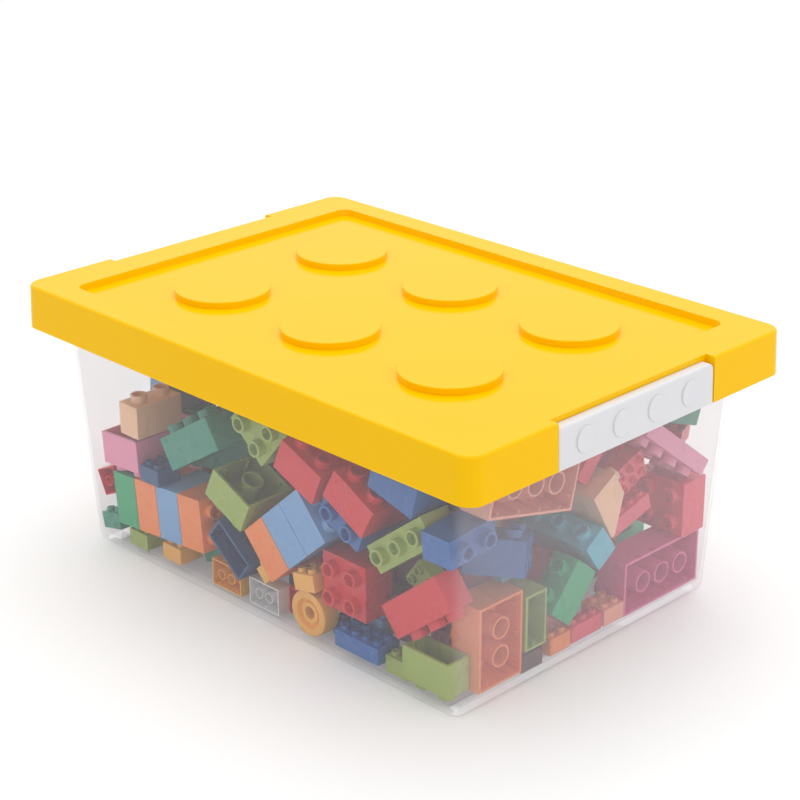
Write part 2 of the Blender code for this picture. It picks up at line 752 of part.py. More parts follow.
# Colours of the plastics, as linear values.
COLOURS = {
    "red": (0.60, 0.02, 0.03),
    "crimson": (0.42, 0.02, 0.06),
    "orange": (0.90, 0.22, 0.04),
    "amber": (0.90, 0.42, 0.04),
    "tan": (0.72, 0.42, 0.20),
    "olive": (0.30, 0.42, 0.06),
    "green": (0.03, 0.35, 0.12),
    "teal": (0.02, 0.25, 0.17),
    "cyan": (0.10, 0.45, 0.55),
    "light_blue": (0.12, 0.34, 0.68),
    "blue": (0.02, 0.14, 0.50),
    "navy": (0.01, 0.07, 0.20),
    "pink": (0.80, 0.20, 0.36),
    "magenta": (0.60, 0.06, 0.22),
    "salmon": (0.85, 0.30, 0.20),
    "brown": (0.10, 0.04, 0.03),
    "white": (0.80, 0.80, 0.80),
}

# The inner sides of the tub that a brick may lie against: to the right along it, and towards it.
WALLS = {
    "front": (Vector((1, 0, 0)), Vector((0, -1, 0))),
    "right": (Vector((0, 1, 0)), Vector((1, 0, 0))),
    "back": (Vector((-1, 0, 0)), Vector((0, 1, 0))),
}

# Which side of a brick looks at the wall: where its own X, Y and Z point, as right, up and towards.
FACES = {
    "side": ((1, 0, 0), (0, 0, -1), (0, 1, 0)),
    "end": ((0, 0, 1), (1, 0, 0), (0, 1, 0)),
    "studs": ((1, 0, 0), (0, 1, 0), (0, 0, 1)),
    "under": ((1, 0, 0), (0, -1, 0), (0, 0, -1)),
}

# The pile, the bricks that tell most first: bricks that are clicked together from the bottom up, the wall
# they lie against, shares of the tub's inside (along the wall from its middle, height, and inwards from the
# wall as a share of half the width), then the side that shows and its spin, swing and nod in degrees.
PILE_SHARES = [
    ([("magenta_open_brick", "open_2x4", "magenta")], "right", (0.665, 0.118, 0), ("under", 0, 0, 0)),
    ([("orange_open_brick", "open_2x3", "orange")], "right", (-0.675, 0.16, 0), ("under", 90, 0, 0)),
    ([("green_end_brick", "brick_2x2", "green"), ("orange_upright", "brick_2x2", "orange"),
      ("blue_upright", "brick_2x2", "light_blue"), ("orange_upright_2", "brick_2x2", "orange")],
     "front", (-0.605, 0.218, 0), ("side", -85, 0, 0)),
    ([("orange_tilted", "brick_2x2", "orange"), ("light_blue_tilted", "brick_2x2", "light_blue"),
      ("light_blue_tilted_2", "brick_2x2", "light_blue")], "front", (0.14, 0.377, 0), ("side", -48, 0, 0)),
    ([("olive_corner_brick", "brick_1x2", "olive")], "front", (0.85, 0.097, 0), ("side", 180, 0, 0)),
    ([("red_long_brick", "brick_1x3", "red")], "front", (0.84, 0.325, 0), ("side", 219, 0, 0)),
    ([("red_studded_brick", "brick_2x2", "red")], "front", (0.398, 0.277, 0), ("studs", 0, 0, 0)),
    ([("navy_open_brick", "brick_1x2", "navy")], "front", (-0.21, 0.2, 0), ("under", -38, 0, 0)),
    ([("olive_open_brick", "brick_1x2", "olive")], "right", (-0.435, 0.2, 0), ("under", 90, 0, 0)),
    ([("green_leaning_brick", "brick_1x2", "green")], "right", (-0.184, 0.247, 0), ("side", 50, 0, 0)),
    ([("cyan_long_brick", "brick_1x3", "cyan")], "right", (-0.01, 0.37, 0), ("end", 35, 0, 0)),
    ([("pink_open_brick", "open_2x3", "pink")], "front", (-0.81, 0.38, 0), ("end", 184, 0, 0)),
    ([("peach_open_brick", "open_2x4", "salmon")], "right", (-0.48, 0.736, 0), ("under", -14, 0, 0)),
    ([("tan_long_brick", "brick_1x2", "tan")], "front", (-0.73, 0.58, 0), ("end", 0, 0, 0)),
    ([("olive_block", "open_2x2", "olive")], "front", (-0.154, 0.43, 0), ("side", 155, 0, 0)),
    ([("teal_long_brick", "brick_2x3", "teal")], "front", (-0.37, 0.59, 0), ("side", 32, 0, 0)),
    ([("red_tilted_brick", "brick_2x2", "red")], "front", (0.241, 0.64, 0), ("side", -23, 0, 0)),
    ([("red_four_stud_brick", "brick_2x2", "red")], "front", (0.50, 0.63, 0), ("side", -28, 0, 0)),
    ([("olive_top_brick", "brick_2x2", "olive")], "front", (0.067, 0.72, 0), ("studs", -41, 0, 0)),
    ([("blue_two_stud_brick", "brick_1x2", "blue")], "front", (0.432, 0.505, 0), ("studs", -24, 0, 0)),
    ([("olive_long_brick", "brick_1x3", "olive")], "front", (0.72, 0.54, 0), ("studs", 38, 0, 0)),
    ([("yellow_wheel", "wheel", "amber")], "front", (0.248, 0.092, 0), ("studs", 0, 0, 0)),
    ([("amber_small_brick", "small_2x3", "amber")], "front", (-0.24, 0.055, 0), ("under", 0, 0, 0)),
    ([("white_small_brick", "small_2x3", "white")], "front", (-0.065, 0.055, 0), ("under", 0, 0, 0)),
    ([("red_small_brick", "small_2x2", "red")], "front", (0.09, 0.055, 0), ("under", 0, 0, 0)),
    ([("blue_low_brick", "small_2x4", "blue")], "front", (0.507, 0.035, 0), ("side", 0, 0, 0)),
    ([("brown_wheel", "wheel", "brown")], "front", (0.632, 0.176, 0), ("studs", 0, 0, 0)),
    ([("blue_foot_brick", "small_2x3", "light_blue")], "front", (0.445, 0.118, 0), ("side", 0, 0, 0)),
    ([("crimson_block", "brick_2x2", "crimson")], "right", (0.90, 0.31, 0), ("side", 90, 0, 0)),
    ([("pink_plate", "plate_2x4", "pink")], "right", (0.67, 0.60, 0), ("side", 142, 0, 0)),
    ([("tan_slope", "slope", "tan")], "right", (0.15, 0.52, 0), ("side", -60, 0, 0)),
    ([("blue_side_brick", "brick_1x2", "blue")], "right", (-0.80, 0.575, 0), ("studs", 5, 0, 0)),
    ([("blue_end_brick", "brick_2x2", "blue")], "right", (-0.48, 0.45, 0.06), ("side", -15, 35, 0)),
    ([("orange_red_plate", "plate_1x2", "salmon")], "right", (-0.17, 0.085, 0), ("side", 140, 0, 0)),
    ([("salmon_brick", "small_2x2", "salmon")], "right", (0.22, 0.035, 0), ("side", 0, 0, 0)),
    ([("red_leaning_brick", "brick_2x2", "red")], "right", (0.02, 0.17, 0.14), ("side", -45, 0, 0)),
    ([("brown_small_brick", "small_2x2", "brown")], "right", (-0.465, 0.045, 0), ("side", 0, 0, 0)),
    ([("amber_cup_brick", "small_2x2", "amber")], "front", (0.2, 0.235, 0), ("side", 12, 0, 0)),
    ([("olive_side_brick", "small_2x2", "olive")], "front", (0.70, 0.40, 0), ("studs", 54, 0, 0)),
    ([("olive_foot_brick", "small_2x2", "olive")], "front", (-0.76, 0.04, 0), ("side", 0, 0, 0)),
    ([("dark_green_brick", "small_2x2", "teal")], "front", (-0.92, 0.065, 0), ("side", 12, 0, 0)),
    ([("red_cup_brick", "small_2x2", "red")], "front", (-0.92, 0.26, 0), ("under", 25, 0, 0)),
    ([("navy_small_brick", "small_2x2", "navy")], "front", (-0.645, 0.37, 0), ("side", 0, 0, 0)),
    ([("crimson_front_brick", "brick_2x2", "crimson")], "front", (-0.02, 0.20, 0.07), ("side", 0, 0, 0)),
    ([("wine_long_brick", "brick_2x4", "crimson")], "right", (0.45, 0.40, 0.18), ("side", -10, 0, 0)),
    ([("crimson_studded_brick", "brick_2x3", "crimson")], "right", (0.50, 0.55, 0.22), ("side", -30, 0, 0)),
    ([("crimson_top_brick", "brick_2x2", "crimson")], "right", (0.42, 0.72, 0.18), ("side", -35, 0, 0)),
    ([("blue_top_brick", "brick_2x2", "blue")], "front", (0.74, 0.71, 0.12), ("side", -15, 0, 0)),
    ([("green_slope", "slope", "green")], "back", (-0.60, 0.07, 0), ("side", 0, 0, 0)),
]

# Towers of clicked-together bricks that fill the middle: name, colour, shares of the tub's inside for the
# middle of their ground, how many square columns long and wide that is, and its turn in degrees.
TOWER_SHARES = [
    ("built_bricks_left", "blue", (-0.645, 0.13), (3, 5), 2),
    ("built_bricks_middle", "olive", (0.281, 0.13), (5, 5), -2),
]
TOWER_LEVELS = (4, 5, 5, 6)


def orientation(wall, face, spin, swing, nod):
    """How a brick is turned so that one of its sides looks at a wall."""
    right, towards = WALLS[wall]
    seen = Matrix((right, Vector((0, 0, 1)), towards)).transposed()
    own = Matrix(FACES[face]).transposed()
    turned = Matrix.Rotation(math.radians(swing), 3, "Y") @ Matrix.Rotation(math.radians(nod), 3, "X")
    return seen @ turned @ Matrix.Rotation(math.radians(spin), 3, "Z") @ own


def grown_points(builder, by):
    """The shape's points moved out by a distance, square to its faces."""
    builder.normal_update()
    return [vert.co + vert.normal * vert.calc_shell_factor() * by for vert in builder.verts]


def stack_shape(members):
    """The clicked-together bricks of one row: their meshes, where each sits, and the whole outline."""
    heights = [PLATE_HEIGHT if kind.startswith("plate") else BRICK_HEIGHT for _, kind, _ in members]
    level = -(sum(heights) + GAP * (len(members) - 1)) / 2
    parts, points, faces = [], [], []
    for (name, kind, colour), height in zip(members, heights):
        builder = BRICK_KINDS[kind]()
        bmesh.ops.recalc_face_normals(builder, faces=builder.faces)
        lift = Vector((0, 0, level + height / 2))
        if len(members) == 1:
            lift = Vector((0, 0, 0))
        start = len(points)
        builder.verts.index_update()
        faces += [[start + vert.index for vert in face.verts] for face in builder.faces]
        points += [point + lift for point in grown_points(builder, GAP)]
        parts.append((name, colour, builder, lift))
        level += height + GAP
    return parts, points, faces


def is_inside(tree, point):
    """True where the point lies inside the closed shape of a tree."""
    place, normal, _, _ = tree.find_nearest(point)
    return (point - place).dot(normal) < 0


class Pile:
    """What the tub holds so far, for testing whether a brick has room."""

    def __init__(self, tub):
        self.things = {}
        points = [vert.co.copy() for vert in tub.data.vertices]
        self.add("tub", points, [list(face.vertices) for face in tub.data.polygons])

    def add(self, name, points, faces):
        low = Vector([min(point[axis] for point in points) for axis in range(3)])
        high = Vector([max(point[axis] for point in points) for axis in range(3)])
        self.things[name] = (BVHTree.FromPolygons(points, faces), low, high)

    def remove(self, name):
        del self.things[name]

    def blocks(self, points, faces, spot):
        """True where the shape, moved to spot, would touch something, hold it or be inside it."""
        moved = [point + spot for point in points]
        low = [min(point[axis] for point in moved) for axis in range(3)]
        high = [max(point[axis] for point in moved) for axis in range(3)]
        tree = None
        for name, (other, other_low, other_high) in self.things.items():
            if any(low[axis] > other_high[axis] or high[axis] < other_low[axis] for axis in range(3)):
                continue
            tree = tree or BVHTree.FromPolygons(moved, faces)
            if tree.overlap(other):
                return True
            middle = (other_low + other_high) / 2
            if name != "tub" and (is_inside(other, spot) or is_inside(tree, middle)):
                return True
        return False


def advance(pile, points, faces, spot, direction, limit):
    """Moves the shape along a direction until it meets something."""
    gone = 0.0
    for step in (FALL_STEP, REST_STEP):
        while gone < limit and not pile.blocks(points, faces, spot + direction * step):
            spot = spot + direction * step
            gone += step
    return spot


def members_at(row, spot):
    """The bricks of a row where the row stands at a spot: name, colour, mesh and how it lies."""
    parts, _, _, turn, _, _ = row
    laid = []
    for name, colour, builder, lift in parts:
        laid.append((name, colour, builder, Matrix.Translation(spot) @ turn @ Matrix.Translation(lift)))
    return laid


def add_row(pile, row, spot):
    for name, _, builder, matrix in members_at(row, spot):
        builder.verts.index_update()
        corners = [[vert.index for vert in face.verts] for face in builder.faces]
        pile.add(name, [matrix @ vert.co for vert in builder.verts], corners)


def find_room(pile, members, wall, place, turned, ceiling):
    """Turns clicked-together bricks and finds the free spot by the wall that is nearest to their place."""
    parts, points, faces = stack_shape(members)
    turn = orientation(wall, *turned)
    points = [turn @ point for point in points]
    floor = FOOT_HEIGHT + TUB_FLOOR
    half = Vector((tub_half(TUB_BASE_LENGTH, 0) - TUB_WALL, tub_half(TUB_BASE_WIDTH, 0) - TUB_WALL, 0))
    height = floor + place[1] * (RIM_TOP - floor)
    right, towards = WALLS[wall]
    up = Vector((0, 0, 1)) + towards * TUB_DRAFT
    reach = max(point.dot(towards) for point in points)
    lowest = min(point.z for point in points)
    inside = abs(half.dot(towards)) + (height + lowest) * TUB_DRAFT - place[2] * half.y
    wanted = right * place[0] * abs(half.dot(right)) + towards * (inside - reach - GAP)
    wanted.z = height
    top = max(point.z for point in points)
    row = (parts, points, faces, turn.to_4x4(), towards, up)
    down, up_most = round(SEARCH_DOWN / FALL_STEP), round(SEARCH_UP / FALL_STEP)
    aside, inwards = round(SEARCH_SIDEWAYS / FALL_STEP), round(SEARCH_INWARDS / DEPTH_STEP)
    tries = []
    for rise in range(-down, up_most):
        for shift in range(-aside, aside + 1):
            for depth in range(inwards):
                cost = abs(rise) + abs(shift) * SIDEWAYS_COST + depth * INWARDS_COST
                tries.append((cost, rise, shift, depth))
    for _, rise, shift, depth in sorted(tries):
        spot = wanted + (up * rise + right * shift) * FALL_STEP - towards * depth * DEPTH_STEP
        if spot.z + top < ceiling and not pile.blocks(points, faces, spot):
            return row, spot
    return row, None


def tower_storeys(pile, matrix, columns, rows, ceiling, chance):
    """How many bricks high each square column can stand, row by row, where the pile leaves room."""
    side = 2 * MODULE
    storeys = []
    for row in range(rows):
        storeys.append([])
        for column in range(columns):
            level = 0
            highest = chance.choice(TOWER_LEVELS)
            while level < highest and matrix.translation.z + (level + 1) * BRICK_HEIGHT < ceiling:
                base = level * BRICK_HEIGHT
                low = ((column - columns / 2) * side - GAP, (row - rows / 2) * side - GAP, base)
                top = base + BRICK_HEIGHT + BRICK_STUD_HEIGHT + GAP
                high = (low[0] + side + 2 * GAP, low[1] + side + 2 * GAP, top)
                block = box(low, high)
                block.verts.index_update()
                corners = [[vert.index for vert in face.verts] for face in block.faces]
                middle = matrix @ ((Vector(low) + Vector(high)) / 2)
                points = [matrix @ vert.co - middle for vert in block.verts]
                block.free()
                if pile.blocks(points, corners, middle):
                    break
                level += 1
            storeys[-1].append(level)
    return storeys


def settle_storeys(storeys):
    """Lowers columns that would meet another only along an edge, and leaves out those that stand apart."""
    rows, columns = len(storeys), len(storeys[0])
    changed = True
    while changed:
        changed = False
        for row in range(rows - 1):
            for column in range(columns - 1):
                for side in (0, 1):
                    one, two = (row, column + side), (row + 1, column + 1 - side)
                    beside = max(storeys[row][column + 1 - side], storeys[row + 1][column + side])
                    if min(storeys[one[0]][one[1]], storeys[two[0]][two[1]]) > beside:
                        storeys[one[0]][one[1]] = beside
                        changed = True
    best = set()
    cells = {(row, column) for row in range(rows) for column in range(columns) if storeys[row][column]}
    while cells:
        group, front = set(), [min(cells)]
        while front:
            cell = front.pop()
            if cell not in cells:
                continue
            cells.remove(cell)
            group.add(cell)
            for down, along in ((0, 1), (1, 0), (0, -1), (-1, 0)):
                front.append((cell[0] + down, cell[1] + along))
        best = max(best, group, key=len)
    for row in range(rows):
        for column in range(columns):
            if (row, column) not in best:
                storeys[row][column] = 0
    return storeys


def settle(pile, placed):
    """Lets every brick slip down its wall and against it until it touches, the lowest first."""
    lowest = {name: spot.z + min(point.z for point in row[1]) for name, (row, spot) in placed.items()}
    for name in sorted(placed, key=lowest.get):
        row, spot = placed[name]
        parts, points, faces, _, towards, up = row
        for part in parts:
            pile.remove(part[0])
        spot = advance(pile, points, faces, spot, towards, DEPTH_STEP)
        spot = advance(pile, points, faces, spot, -up, SLIP)
        add_row(pile, row, spot)
        placed[name] = (row, spot)


def make_pile(tub, plastics):
    """Fills the tub: bricks against the walls find room and settle, then towers fill the middle."""
    pile = Pile(tub)
    ceiling = BOX_HEIGHT - PANEL_DEPTH - LID_WALL - PILE_TOP_ROOM
    waiting = PILE_SHARES
    placed = {}
    for _ in range(LAY_ROUNDS):
        left_out = []
        for members, wall, place, turned in waiting:
            row, spot = find_room(pile, members, wall, place, turned, ceiling)
            if spot is None:
                left_out.append((members, wall, place, turned))
            else:
                add_row(pile, row, spot)
                placed[members[0][0]] = (row, spot)
        waiting = left_out
        settle(pile, placed)
    for row, spot in placed.values():
        for name, colour, builder, matrix in members_at(row, spot):
            item = add_object(name, builder, plastics[colour])
            item.matrix_world = matrix
    chance = random.Random(TOWER_SEED)
    for name, colour, place, (columns, rows), turn in TOWER_SHARES:
        middle = Vector((
            place[0] * (tub_half(TUB_BASE_LENGTH, 0) - TUB_WALL),
            place[1] * (tub_half(TUB_BASE_WIDTH, 0) - TUB_WALL),
            FOOT_HEIGHT + TUB_FLOOR + GAP,
        ))
        matrix = Matrix.Translation(middle) @ Matrix.Rotation(math.radians(turn), 4, "Z")
        storeys = settle_storeys(tower_storeys(pile, matrix, columns, rows, ceiling, chance))
        if not any(map(any, storeys)):
            continue
        builder = built_bricks(storeys)
        builder.verts.index_update()
        corners = [[vert.index for vert in face.verts] for face in builder.faces]
        pile.add(name, [matrix @ vert.co for vert in builder.verts], corners)
        item = add_object(name, builder, plastics[colour])
        item.matrix_world = matrix


def build():
    clear_scene()
    clear_plastic = plastic("clear_plastic", (0.86, 0.85, 0.86), 0.12, 0.3)
    yellow = plastic("yellow_plastic", (0.95, 0.62, 0.01), 0.35)
    white = plastic("white_plastic", (0.80, 0.80, 0.82), 0.35)
    tub = make_tub(clear_plastic)
    make_lid(yellow)
    make_clip("clip_right", 1, white)
    make_clip("clip_left", -1, white)
    make_pile(tub, {name: plastic(name + "_brick", colour, 0.4) for name, colour in COLOURS.items()})


build()
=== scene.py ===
import itertools
import json
import math
import random

import bmesh
import bpy
import numpy
from mathutils import Matrix, Vector
from mathutils.bvhtree import BVHTree


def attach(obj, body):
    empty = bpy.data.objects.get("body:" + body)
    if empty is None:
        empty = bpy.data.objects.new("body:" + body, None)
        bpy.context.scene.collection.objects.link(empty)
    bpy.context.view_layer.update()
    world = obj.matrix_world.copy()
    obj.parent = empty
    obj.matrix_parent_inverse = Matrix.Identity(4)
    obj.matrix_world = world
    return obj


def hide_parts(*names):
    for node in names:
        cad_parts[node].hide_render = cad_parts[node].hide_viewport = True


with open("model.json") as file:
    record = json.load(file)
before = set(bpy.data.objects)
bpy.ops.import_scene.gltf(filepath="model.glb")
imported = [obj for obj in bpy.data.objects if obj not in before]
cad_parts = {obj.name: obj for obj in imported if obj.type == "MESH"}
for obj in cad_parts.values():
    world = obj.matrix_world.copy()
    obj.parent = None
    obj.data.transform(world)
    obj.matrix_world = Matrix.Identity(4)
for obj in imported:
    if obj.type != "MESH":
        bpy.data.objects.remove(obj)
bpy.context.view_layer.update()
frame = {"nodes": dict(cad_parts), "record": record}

mm = 0.001
hair = 0.02 * mm  # points nearer than this are taken as one
weld = 0.004 * mm  # and nearer than this they are merged
wallDraft = 0.0506  # how far the tub's walls lean out for each unit of height
print("frame loaded with", len(frame["nodes"]), "nodes")


# Small helpers for working as by hand

def putDown():
    if bpy.context.mode != "OBJECT":
        bpy.ops.object.mode_set(mode="OBJECT")
    bpy.ops.object.select_all(action="DESELECT")


def takeUp(piece):
    putDown()
    piece.select_set(True)
    bpy.context.view_layer.objects.active = piece


def applyPlace(piece):  # the place goes into the mesh and the object back to the origin
    takeUp(piece)
    bpy.ops.object.transform_apply(location=True, rotation=True, scale=True)
    return piece


def newBlock(name, low, high):
    putDown()
    middle = [(a + b) / 2 for a, b in zip(low, high)]
    size = [b - a for a, b in zip(low, high)]
    bpy.ops.mesh.primitive_cube_add(size=1, location=middle, scale=size)
    bpy.context.object.name = name
    return applyPlace(bpy.context.object)


def middleBlock(name, halfX, halfY, low, high):
    return newBlock(name, (-halfX, -halfY, low), (halfX, halfY, high))


def newRound(name, radius, low, high, centre, sides, axis="Z"):  # a round bar from low to high along an axis
    putDown()
    middle = (low + high) / 2
    place = {"X": (middle, *centre), "Y": (centre[0], middle, centre[1]), "Z": (*centre, middle)}[axis]
    turn = {"X": (0, math.pi / 2, 0), "Y": (math.pi / 2, 0, 0), "Z": (0, 0, 0)}[axis]
    bpy.ops.mesh.primitive_cylinder_add(
        vertices=sides, radius=radius, depth=high - low, location=place, rotation=turn)
    bpy.context.object.name = name
    return applyPlace(bpy.context.object)


def choose(piece, kind, test):  # selects the vertices, edges or faces that pass a test
    takeUp(piece)
    bpy.ops.object.mode_set(mode="EDIT")
    bpy.ops.mesh.select_mode(type=kind)
    bpy.ops.mesh.select_all(action="DESELECT")
    shape = bmesh.from_edit_mesh(piece.data)
    shape.normal_update()
    for thing in {"VERT": shape.verts, "EDGE": shape.edges, "FACE": shape.faces}[kind]:
        if test(thing):
            thing.select_set(True)
    shape.select_flush_mode()
    bmesh.update_edit_mesh(piece.data)


def upright(edge):
    along = edge.verts[1].co - edge.verts[0].co
    return abs(along.z) > 3 * math.hypot(along.x, along.y)  # steeper than three to one


def alongY(edge):
    return abs(edge.verts[0].co.y - edge.verts[1].co.y) > mm


def atHeight(z):
    return lambda thing: all(abs(vert.co.z - z) < hair for vert in getattr(thing, "verts", [thing]))


def roundEdges(piece, test, width, segments):
    choose(piece, "EDGE", test)
    bpy.ops.mesh.bevel(offset=width, segments=segments, affect="EDGES")
    putDown()


def spreadAt(piece, z, scaleX, scaleY):  # widens the ring of points at a height
    choose(piece, "VERT", atHeight(z))
    bpy.ops.transform.resize(value=(scaleX, scaleY, 1))
    putDown()


def movePoints(piece, test, way):
    choose(piece, "VERT", test)
    bpy.ops.transform.translate(value=way)
    putDown()


def pushFace(piece, z, border, rise):  # narrows the face at a height by a border and moves it up or down
    choose(piece, "FACE", atHeight(z))
    bpy.ops.mesh.inset(thickness=border)
    bpy.ops.mesh.extrude_region_move(TRANSFORM_OT_translate={"value": (0, 0, rise)})
    putDown()


def newObject(name, data):
    item = bpy.data.objects.new(name, data)
    bpy.context.collection.objects.link(item)
    return item


def copyOf(piece, name, matrix):
    twin = newObject(name, piece.data.copy())
    twin.data.transform(matrix)
    if matrix.determinant() < 0:
        twin.data.flip_normals()
    return twin


def discard(*pieces):
    for piece in pieces:
        bpy.data.objects.remove(piece, do_unlink=True)


def joined(name, parts):
    takeUp(parts[0])
    for part in parts:
        part.select_set(True)
    bpy.ops.object.join()
    parts[0].name = name
    return parts[0]


def combine(piece, tool, operation):
    takeUp(piece)
    change = piece.modifiers.new("shape", "BOOLEAN")
    change.operation = operation
    change.solver = "EXACT"
    change.object = tool
    bpy.ops.object.modifier_apply(modifier=change.name)
    discard(tool)


def finishMesh(piece, angle):  # edges flatter than the angle, in degrees, are shaded smooth
    takeUp(piece)
    bpy.ops.object.mode_set(mode="EDIT")
    bpy.ops.mesh.select_all(action="SELECT")
    bpy.ops.mesh.remove_doubles(threshold=weld)
    bpy.ops.object.mode_set(mode="OBJECT")
    bpy.ops.object.shade_smooth_by_angle(angle=math.radians(angle))
    change = piece.modifiers.new("normals", "WEIGHTED_NORMAL")
    change.keep_sharp = True
    bpy.ops.object.modifier_apply(modifier=change.name)
    putDown()
    return piece


def mount(piece, material, body, slot, *nodes):  # finish, body and the nodes that it stands for
    piece.data.materials.clear()
    piece.data.materials.append(material)
    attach(piece, body)
    if nodes:
        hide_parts(*nodes)


# Finishes

def fill(tree, node, inputs):  # each input gets a value or another node's output
    for key, value in inputs.items():
        if isinstance(value, bpy.types.NodeSocket):
            tree.links.new(value, node.inputs[key])
        else:
            node.inputs[key].default_value = value


def newNode(tree, kind, inputs, **settings):
    node = tree.nodes.new("ShaderNode" + kind)
    for key, value in settings.items():
        setattr(node, key, value)
    fill(tree, node, inputs)
    return node


def newMath(tree, operation, *values, clamp=False):
    return newNode(tree, "Math", dict(enumerate(values)), operation=operation, use_clamp=clamp).outputs[0]


def makeMouldedGroup():  # a faint cloudiness of the dye, a fine surface ripple and an uneven gloss
    group = bpy.data.node_groups.new("mouldedPlastic", "ShaderNodeTree")
    sockets = {
        "INPUT": ("Colour", "Cloud Scale", "Cloud Depth", "Roughness", "Roughness Spread", "Ripple Scale"),
        "OUTPUT": ("Colour", "Roughness", "Height"),
    }
    for way, names in sockets.items():
        for name in names:
            kind = "NodeSocketColor" if name == "Colour" else "NodeSocketFloat"
            group.interface.new_socket(name=name, in_out=way, socket_type=kind)
    inlet = group.nodes.new("NodeGroupInput").outputs
    place = newNode(group, "TexCoord", {}).outputs["Object"]
    cloud = newNode(group, "TexNoise", {"Vector": place, "Scale": inlet["Cloud Scale"], "Detail": 3})
    ripple = newNode(group, "TexNoise", {"Vector": place, "Scale": inlet["Ripple Scale"], "Detail": 2})
    swing = newMath(group, "SUBTRACT", cloud.outputs["Fac"], 0.5)  # about nought
    deep = newMath(group, "MULTIPLY_ADD", swing, inlet["Cloud Depth"], 1)
    tint = newNode(group, "VectorMath", {}, operation="SCALE")
    fill(group, tint, {0: inlet["Colour"], "Scale": deep})
    gloss = newMath(group, "MULTIPLY_ADD", swing, inlet["Roughness Spread"], inlet["Roughness"])
    fill(group, group.nodes.new("NodeGroupOutput"), {
        "Colour": tint.outputs[0],
        "Roughness": gloss,
        "Height": ripple.outputs["Fac"],
    })
    return group


mouldedGroup = makeMouldedGroup()
rippleDepth = 0.2 * mm


def mouldedPlastic(name, plan):
    material = bpy.data.materials.new(name)
    material.use_nodes = True
    tree = material.node_tree
    body = newNode(tree, "Group", {
        "Colour": (*plan["colour"], 1),
        "Cloud Scale": plan["cloudScale"],
        "Cloud Depth": plan["cloudDepth"],
        "Roughness": plan["roughness"],
        "Roughness Spread": plan["spread"],
        "Ripple Scale": plan["rippleScale"],
    }, node_tree=mouldedGroup).outputs
    bump = newNode(tree, "Bump", {
        "Strength": plan["ripple"],
        "Distance": rippleDepth,
        "Height": body["Height"],
    })
    fill(tree, tree.nodes["Principled BSDF"], {
        "IOR": plan["ior"],
        "Base Color": body["Colour"],
        "Roughness": body["Roughness"],
        "Normal": bump.outputs["Normal"],
    })
    return material


def makeClearPlastic(plan):  # milky clear, denser where the wall is seen edge on; the extra density on the end walls is a painted veil of side light on the haze
    material = mouldedPlastic("clearPlastic", plan)
    tree = material.node_tree
    edge = newNode(tree, "LayerWeight", {"Blend": plan["edgeBlend"]})
    veil = newNode(tree, "MapRange", {
        "Value": edge.outputs["Facing"],
        "To Min": plan["wallDensity"],
        "To Max": plan["edgeDensity"],
    })
    split = newNode(tree, "SeparateXYZ", {0: newNode(tree, "TexCoord", {}).outputs["Object"]})
    reach = newMath(tree, "ABSOLUTE", split.outputs["X"])  # how far out along the box
    footReach = newMath(tree, "MULTIPLY_ADD", split.outputs["Z"], -wallDraft, reach)  # without the draft
    # painted light: extra density on the end walls, standing in for their haze lit from the side
    paintedEndVeil = newNode(tree, "MapRange", {
        "Value": footReach,
        "From Min": plan["endFrom"],
        "From Max": plan["endTo"],
        "To Max": plan["endDensity"],
    })
    total = newMath(tree, "ADD", veil.outputs[0], paintedEndVeil.outputs[0], clamp=True)
    shadow = newNode(tree, "LightPath", {}).outputs["Is Shadow Ray"]  # light passes through to the bricks
    lit = newMath(tree, "SUBTRACT", total, shadow, clamp=True)
    fill(tree, tree.nodes["Principled BSDF"], {"Alpha": lit})
    return material


commonPlan = {
    "cloudScale": 20,
    "cloudDepth": 0.03,
    "roughness": 0.25,
    "spread": 0.05,
    "rippleScale": 700,
    "ripple": 0.03,
    "ior": 1.5,
}
clearPlan = {
    **commonPlan,
    # pinkish grey; the pink tint is painted bounce light from the red bricks
    "colour": (0.79, 0.74, 0.78),
    "cloudScale": 12,
    "cloudDepth": 0.05,
    "roughness": 0.12,
    "rippleScale": 300,
    "ripple": 0.02,
    "edgeBlend": 0.2,
    "wallDensity": 0.09,  # of one face; a wall has two
    "edgeDensity": 0.12,
    # painted light on the end walls' haze
    "endDensity": 0.08,
    "endFrom": 142 * mm,
    "endTo": 146 * mm,
}
yellowPlan = {
    **commonPlan,
    "colour": (1.0, 0.57, 0.0),
    "cloudScale": 14,
    "roughness": 0.16,
    "ripple": 0.02,
    "ior": 1.22,
}
whitePlan = {**commonPlan, "colour": (0.76, 0.76, 0.78)}
brickFinish = {
    **commonPlan,
    "cloudScale": 40,
    "cloudDepth": 0.08,
    "roughness": 0.28,
    "spread": 0.08,
    "rippleScale": 1200,
    "ripple": 0.04,
}
clearPlastic = makeClearPlastic(clearPlan)
yellowPlastic = mouldedPlastic("yellowPlastic", yellowPlan)
whitePlastic = mouldedPlastic("whitePlastic", whitePlan)
brickColours = {  # as linear values
    "red": (0.74, 0.035, 0.045),
    "crimson": (0.85, 0.10, 0.15),
    "orange": (0.97, 0.29, 0.08),
    "amber": (0.95, 0.50, 0.10),
    "tan": (0.93, 0.58, 0.37),
    "olive": (0.37, 0.49, 0.11),
    "green": (0.02, 0.42, 0.18),
    "teal": (0.035, 0.30, 0.20),
    "cyan": (0.12, 0.50, 0.62),
    "light_blue": (0.21, 0.43, 0.72),
    "blue": (0.03, 0.16, 0.46),
    "navy": (0.025, 0.10, 0.24),
    "pink": (0.86, 0.33, 0.48),
    "magenta": (0.84, 0.17, 0.38),
    "salmon": (0.93, 0.40, 0.28),
    "brown": (0.12, 0.06, 0.055),
    "white": (0.82, 0.82, 0.82),
}
brickPlastics = {name: mouldedPlastic(name + "Plastic", {**brickFinish, "colour": colour})
                 for name, colour in brickColours.items()}
print("finishes made")


# Lid

